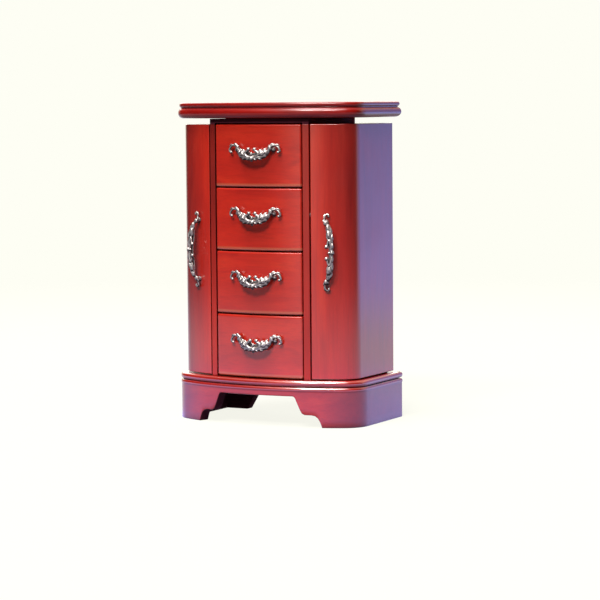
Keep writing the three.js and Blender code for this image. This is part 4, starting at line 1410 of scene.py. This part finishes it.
def makeTrayLining():
    trayLow, trayHigh = nodeBox("tray_floor")
    dividerHigh = nodeBox("tray_divider")[1]
    gap = trayShape["gap"]
    tubLining("tray_lining", (dividerHigh.x + gap, trayLow.y + gap, trayHigh.z + trayShape["lift"]),
              (trayHigh.x - gap, trayHigh.y - gap, dividerHigh.z - trayShape["belowRim"]), "carcass")


makeRingRolls()
for side in sides:
    makePouch(side)
makeTrayLining()
print("soft pieces made")


screwShape = {
    "apart": 7.5,
    "inset": 5.6,       # from the edge of a leaf to its screws
    "doorInset": 2.2,
    "leaf": 1.0,
    "hinge": (1.75, 0.45),       # radius and rise of a head
    "doorHinge": (1.575, 0.45),
    "pull": (2.7, 1.3),
    "turns": (23, 67),  # every slot ends up at its own angle: the first one, and what each next one adds
    "shares": (-0.97, -0.82, -0.5, -0.17, -0.17, 0.17, 0.17, 0.5, 0.82, 0.97),
    "sunk": (4, 5),     # which of them lie in the slot
    "slotHeight": 0.3,  # what the slot leaves of the head's rise
    "along": (-1, -0.8, -0.45, 0, 0.45, 0.8, 1),
    "below": -0.3,
}


# a slotted screw head, flat below, standing along z
def screwHead(radius, rise):
    shape, slot = screwShape, rise * screwShape["slotHeight"]
    loops = []
    for number, share in enumerate(shape["shares"]):
        x = share * radius
        reach = math.sqrt(radius ** 2 - x ** 2)
        top = []
        for v in shape["along"]:
            dome = rise * (1 - ((x * x + (v * reach) ** 2) / radius ** 2) ** 1.5)
            top.append((x, v * reach, min(dome, slot) if number in shape["sunk"] else dome))
        loops.append(top + [(x, v * reach, shape["below"]) for v in (1, 0.5, 0, -0.5, -1)])
    return loftLoops(loops)


# places are the points where the heads sit and the ways they face
def setScrews(name, body, places, size):
    first, each = screwShape["turns"]
    parts = []
    for number, (point, facing) in enumerate(places):
        turn = Vector(facing).to_track_quat("Z", "Y").to_matrix()
        turn = turn @ Matrix.Rotation(math.radians(first + each * number), 3, "Z")
        verts, faces = screwHead(*size)
        parts.append(([turn @ Vector(v) + Vector(point) for v in verts], faces))
    addPiece(name, joinParts(parts), [brass], (body, "brass"), sharp=35)


def makeHingeScrews():
    leaf, inset, backwards = screwShape["leaf"], screwShape["inset"], (0, 1, 0)
    steps = (-screwShape["apart"], screwShape["apart"])
    carcassPlaces, lidPlaces = [], []
    for side, sign in zip(sides, (-1, 1)):
        doorPlaces = []
        for level in ("lower", "upper"):
            fixedLow, fixedHigh = nodeBox(f"door_right_hinge_{level}_fixed")
            leafEdge = nodeBox(f"door_right_hinge_{level}_leaf")[1].x
            for step in steps:
                y, z = fixedLow.y + leaf, (fixedLow.z + fixedHigh.z) / 2 + step
                carcassPlaces.append(((sign * (fixedLow.x + inset), y, z), backwards))
                doorPlaces.append(((sign * (leafEdge - screwShape["doorInset"]), y, z), backwards))
        setScrews(f"door_{side}_hinge_screws", f"door_{side}", doorPlaces, screwShape["doorHinge"])
        # the two that hold the pull from behind
        inner = plan["wingRadius"] - doorShape["thickness"]
        x, y = wingCentre.x + inner * math.sin(doorPullTurn), wingCentre.y - inner * math.cos(doorPullTurn)
        inward = (-sign * math.sin(doorPullTurn), math.cos(doorPullTurn), 0)
        heights = (doorPull["height"] - doorPull["foot"], doorPull["height"] + doorPull["foot"])
        setScrews(f"door_{side}_pull_screws", f"door_{side}", [((sign * x, y, z), inward) for z in heights],
                  screwShape["pull"])
        fixedLow, fixedHigh = nodeBox(f"lid_hinge_{side}_fixed")
        leafLow, leafHigh = nodeBox(f"lid_hinge_{side}_leaf")
        middle = (fixedLow.x + fixedHigh.x) / 2
        for step in steps:
            carcassPlaces.append(((middle + step, fixedLow.y + leaf, fixedLow.z + inset), backwards))
            lidPlaces.append(((middle + step, leafLow.y + inset, leafHigh.z - leaf), (0, 0, -1)))
    setScrews("carcass_hinge_screws", "carcass", carcassPlaces, screwShape["hinge"])
    setScrews("lid_hinge_screws", "lid", lidPlaces, screwShape["hinge"])


hookShape = {
    "count": 4,
    "strip": 1.5,
    "stripHalf": 4.5,
    "bevel": 0.45,
    "margin": 8.0,
    "reach": 12.9,
    "wire": 1.0,
    "ball": 1.9,
    "rise": 6.0,
    "bend": [(0.4, 0), (-3.0, -0.3)],                # where the wire leaves the strip
    "curl": [(4.2, -1.3), (1.0, -0.2), (0, 2.4)],    # where it turns up, from its tip
    "collar": [(0.5, 2.2), (-0.4, 2.1), (-0.9, 1.5)],   # place before the strip and radius
    "screwsAfter": (0, 2),   # hooks that have a screw beside them
}


# brass strip with a row of ball-ended hooks on the side panel of a door
def makeHooks(side):
    low, high = nodeBox("door_right_hooks")
    half, bevel, margin, rise = (hookShape[key] for key in ("stripHalf", "bevel", "margin", "rise"))
    face, middle, centre = high.x - hookShape["strip"], low.z + half, (low.y + high.y) / 2
    eased = bevel * chamferMiddle
    outline = arcPoints((high.y - half, middle), half, -math.pi / 2, math.pi / 2, 14)
    outline += arcPoints((low.y + half, middle), half, math.pi / 2, 1.5 * math.pi, 14)
    parts = [loftLoops([[(x, y - inset * (1 if y > centre else -1), z - inset * (z - middle) / half)
                         for y, z in outline] for x, inset in (
        (high.x, 0), (face + bevel, 0), (face + eased, eased), (face, bevel))])]
    pitch = (high.y - low.y - 2 * margin) / (hookShape["count"] - 1)
    tip = high.x - hookShape["reach"]
    for number in range(hookShape["count"]):
        y = low.y + margin + pitch * number
        bend = [(face + x, z) for x, z in hookShape["bend"]]
        bend += [(tip + x, z) for x, z in hookShape["curl"]] + [(tip, rise)]
        line = splinePoints([(x, y, middle + z) for x, z in bend], 6)
        parts.append(tube(line, [hookShape["wire"]] * len(line)))
        parts.append(blob((tip, y, middle + rise), [hookShape["ball"]] * 3, 0, 18, 11))
        parts.append(tube([(face + x, y, middle) for x, radius in hookShape["collar"]],
                          [radius for x, radius in hookShape["collar"]], 16))
    sign = 1 if side == "right" else -1
    screws = [((sign * face, low.y + margin + pitch * (number + 0.5), middle), (-sign, 0, 0))
              for number in hookShape["screwsAfter"]]
    setScrews(f"door_{side}_hook_screws", f"door_{side}", screws, screwShape["hinge"])
    addPiece(f"door_{side}_necklace_hooks", forSide(side, joinParts(parts)), [brass],
             (f"door_{side}", "brass", f"door_{side}_hooks"))


makeHingeScrews()
for side in sides:
    makeHooks(side)
print("screws and hooks made")


# gives a cad part its material and eased edges
def dressNode(node, material, edge):
    mesh = node.data
    mesh.materials.clear()
    mesh.materials.append(material)
    mesh.shade_smooth()
    for attribute in ("custom_normal", "sharp_edge", "sharp_face"):
        if attribute in mesh.attributes:
            mesh.attributes.remove(mesh.attributes[attribute])
    addModifier(node, "weld", "WELD", merge_threshold=0.00001)
    addModifier(node, "plane", "DECIMATE", decimate_type="DISSOLVE", angle_limit=math.radians(0.5))
    roundEdges(node, edge, 2, 28)


def finishFor(name):
    if "hinge" in name:
        return brass, 0.18
    if "magnet" in name or "strike" in name:
        return steel, 0.25
    if name == "lid_mirror":
        return mirrorGlass, 0.5
    if name == "back_panel":
        return cherry["Inside"], 0.6
    if name.endswith(("_top", "_floor")) and name.startswith("door"):
        return cherry["Depth"], 0.5
    # the rail under the lid's front: near-black painted shade
    if name == "tray_front_rail":
        return paintedShadeDark, 0.5
    return drawerWood, 0.5


for name in sorted(nodes):
    if not nodes[name].hide_render:
        dressNode(nodes[name], *finishFor(name))
print("cad parts dressed")


stageLook = {
    "paper": (0.991, 0.991, 0.905, 1),   # warm white of the floor and backdrop
    "paperDiffuse": (0.100, 0.100, 0.091, 1),
    "paperGlow": 0.90,
    "nearVioletGlow": (0.90, 0.82, 1.85, 1),   # the same paper as the polish sees it, glowing violet close by: a painted glow for the reflections
    "farSheen": (0.98, 0.92, 1.12, 1),
    "highSheen": (0.98, 0.90, 0.74, 1),
    "highAt": (-0.14, -0.01),
    "floorRadius": 6.0,
    "floorSides": 64,
    "floorHeight": -0.0001,
    "fadeAt": (0.8, 2.5),                 # the floor melts into the backdrop between these distances
    "nearAt": (0.25, 0.9),
    "coolFront": (0.02, -0.05),
    "coolRight": (0.02, 0.10),
    "coolSlant": 0.45,
    "dullFace": 0.75,
    "dullAt": (0.80, 0.50),
    "fill": 0.08,
    "fillColour": (1.0, 0.97, 0.95, 1),
    "darkLeft": ((-0.883, -0.469, 0.0), 0.43, 0.74),   # unlit stretches of the room: middle, edge and core
    "darkRight": ((0.883, -0.469, 0.0), 0.42, 0.72),
    "darkAbove": (-0.34, -0.10),
    "darkAmount": 0.97,
    "coolSide": ((0.469, 0.883, 0.0), 0.78, 0.96),     # violet card behind the right-hand side
    "coolSheen": (0.70, 0.76, 1.75),
    "coolTop": (0.55, 0.25),
    "coolBelow": 1.25,
    "coolAbove": 0.52,
    "coolTurn": (-0.12, 0.04),
}


def seenBy(tree):
    path = addNode(tree, "LightPath").outputs
    return path["Is Camera Ray"], path["Is Glossy Ray"], path["Is Transmission Ray"]


def makeFloor():
    look = stageLook
    radius, count = look["floorRadius"], look["floorSides"]
    angles = [2 * math.pi * i / count for i in range(count)]
    mesh = bpy.data.meshes.new("floor")
    edge = [(radius * math.cos(a), radius * math.sin(a), look["floorHeight"]) for a in angles]
    mesh.from_pydata(edge, [], [tuple(range(count))])
    addObject("floor", mesh)
    material, tree = newMaterial("paperFloor")
    finishMaterial(material, {"Base Color": look["paperDiffuse"], "Roughness": 1.0,
                              "Specular IOR Level": 0.0})
    mesh.materials.append(material)
    # the eye and the polish see bright paper, the room is lit by its weaker bounce
    eye, polish, glass = seenBy(tree)
    seen = calc(tree, "MAXIMUM", calc(tree, "MAXIMUM", eye, polish), glass)
    place = coordinate(tree)
    along = axes(tree, place)
    distance = addNode(tree, "VectorMath", {0: place}, operation="LENGTH").outputs["Value"]
    # painted glow: violet close by in front and to the right, plain behind, seen only by the polish
    slanted = calc(tree, "SUBTRACT", along["X"], calc(tree, "MULTIPLY", along["Y"], look["coolSlant"]))
    cool = calc(tree, "MAXIMUM", mapRange(tree, along["Y"], *look["coolFront"]),
                mapRange(tree, slanted, *look["coolRight"]))
    cool = calc(tree, "MULTIPLY", cool, mapRange(tree, distance, *look["nearAt"], 1.0, 0.0))
    sheen = mixColour(tree, cool, look["farSheen"], look["nearVioletGlow"])
    # polish meets the paper's sheen at a low angle and its duller face from above
    facing = addNode(tree, "LayerWeight", {"Blend": 0.5}).outputs["Facing"]
    dull = mapRange(tree, facing, *look["dullAt"], 0.0, look["dullFace"])
    dull = calc(tree, "MULTIPLY", polish, dull)
    glow = addNode(tree, "Emission", {
        "Color": mixColour(tree, polish, look["paper"], sheen),
        "Strength": calc(tree, "MULTIPLY", calc(tree, "SUBTRACT", seen, dull), look["paperGlow"]),
    })
    both = addNode(tree, "AddShader", {0: tree.nodes["Principled BSDF"].outputs[0], 1: glow.outputs[0]})
    clear = addNode(tree, "BsdfTransparent")
    fade = mapRange(tree, distance, *look["fadeAt"])
    mixed = addNode(tree, "MixShader", {0: fade, 1: both.outputs[0], 2: clear.outputs[0]})
    feed(tree, tree.nodes["Material Output"], {"Surface": mixed.outputs[0]})


def makeWorld():
    look = stageLook
    world = bpy.data.worlds.new("studio")
    scene.world = world
    world.use_nodes = True
    tree = world.node_tree
    fill = tree.nodes["Background"]
    feed(tree, fill, {"Color": look["fillColour"], "Strength": look["fill"]})
    # polish sees the same paper all round, apart from two unlit stretches and the violet card
    eye, polish, glass = seenBy(tree)
    room = coordinate(tree, "Generated")
    height = axes(tree, room)["Z"]

    def sector(middle, edge, core):
        facing = addNode(tree, "VectorMath", {0: room, 1: middle}, operation="DOT_PRODUCT").outputs["Value"]
        return mapRange(tree, facing, edge, core)

    dark = calc(tree, "MAXIMUM", sector(*look["darkLeft"]), sector(*look["darkRight"]))
    dark = calc(tree, "MULTIPLY", dark, mapRange(tree, height, *look["darkAbove"]))
    light = calc(tree, "SUBTRACT", 1.0, calc(tree, "MULTIPLY", dark, look["darkAmount"]))
    above = mapRange(tree, height, *look["highAt"])
    sheen = mixColour(tree, above, look["farSheen"], look["highSheen"])
    below = mapRange(tree, height, *look["coolTop"])
    cool = calc(tree, "MULTIPLY", sector(*look["coolSide"]), below)
    dimmer = mapRange(tree, height, *look["coolTurn"], look["coolBelow"], look["coolAbove"])
    card = addNode(tree, "VectorMath", {0: look["coolSheen"], "Scale": dimmer}, operation="SCALE")
    sheen = mixColour(tree, cool, sheen, card.outputs[0])
    seen = calc(tree, "MAXIMUM", eye, glass)
    paper = addNode(tree, "Background", {
        "Color": mixColour(tree, polish, look["paper"], sheen),
        "Strength": calc(tree, "MAXIMUM", seen, calc(tree, "MULTIPLY", polish, light)),
    })
    anyway = calc(tree, "MAXIMUM", seen, polish)
    mixed = addNode(tree, "MixShader", {0: anyway, 1: fill.outputs[0], 2: paper.outputs[0]})
    feed(tree, tree.nodes["World Output"], {"Surface": mixed.outputs[0]})


def towards(azimuth, elevation):
    azimuth, elevation = math.radians(azimuth), math.radians(elevation)
    return Vector((math.sin(azimuth) * math.cos(elevation), -math.cos(azimuth) * math.cos(elevation),
                   math.sin(elevation)))


lampLook = {
    "keyLeft": {"direction": (-3, 43), "power": 1.30, "colour": (1.0, 0.97, 0.95), "angle": 9.0},
    "keyRight": {"direction": (14, 43), "power": 1.35, "colour": (1.0, 0.97, 0.95), "angle": 9.0},
    "top": {"direction": (8, 64), "power": 2.15, "colour": (1.0, 0.98, 0.97), "angle": 38.0},
    "over": {"direction": (-30, 74), "power": 1.5, "colour": (1.0, 0.95, 0.97), "angle": 16.0},
    "rear": {"direction": (212, 28), "power": 1.1, "colour": (1.0, 0.98, 0.97), "angle": 40.0},
}


def makeLamps():
    for name, look in lampLook.items():
        data = bpy.data.lights.new(name + "Light", "SUN")
        setAll(data, energy=look["power"], color=look["colour"], angle=math.radians(look["angle"]))
        away = towards(*look["direction"])
        setAll(addObject(name + "Light", data), location=away * 3, rotation_mode="QUATERNION",
               rotation_quaternion=(-away).to_track_quat("-Z", "Y"))


cameraView = {
    "azimuth": 28.174,
    "distance": 2.9645,
    "height": 0.3993,
    "yaw": 27.735,
    "pitch": 4.796,
    "roll": -0.464,
    "lens": 141.2,
    "sensor": 36.0,
    "clip": (0.05, 50.0),
}


def makeCamera():
    data = bpy.data.cameras.new("camera")
    near, far = cameraView["clip"]
    setAll(data, sensor_width=cameraView["sensor"], lens=cameraView["lens"], clip_start=near, clip_end=far)
    scene.camera = addObject("camera", data)
    azimuth, yaw, pitch, roll = (math.radians(cameraView[k]) for k in ("azimuth", "yaw", "pitch", "roll"))
    distance = cameraView["distance"]
    place = Vector((distance * math.sin(azimuth), -distance * math.cos(azimuth), cameraView["height"]))
    ahead = Vector((-math.sin(yaw) * math.cos(pitch), math.cos(yaw) * math.cos(pitch), -math.sin(pitch)))
    right = ahead.cross(Vector((0, 0, 1))).normalized()
    up = right.cross(ahead)
    tiltedRight = right * math.cos(roll) + up * math.sin(roll)
    tiltedUp = up * math.cos(roll) - right * math.sin(roll)
    turn = Matrix((tiltedRight, tiltedUp, -ahead)).transposed().to_4x4()
    scene.camera.matrix_world = Matrix.Translation(place) @ turn


makeFloor()
makeWorld()
makeLamps()
makeCamera()
scene.view_settings.view_transform = "Standard"
print("stage made")
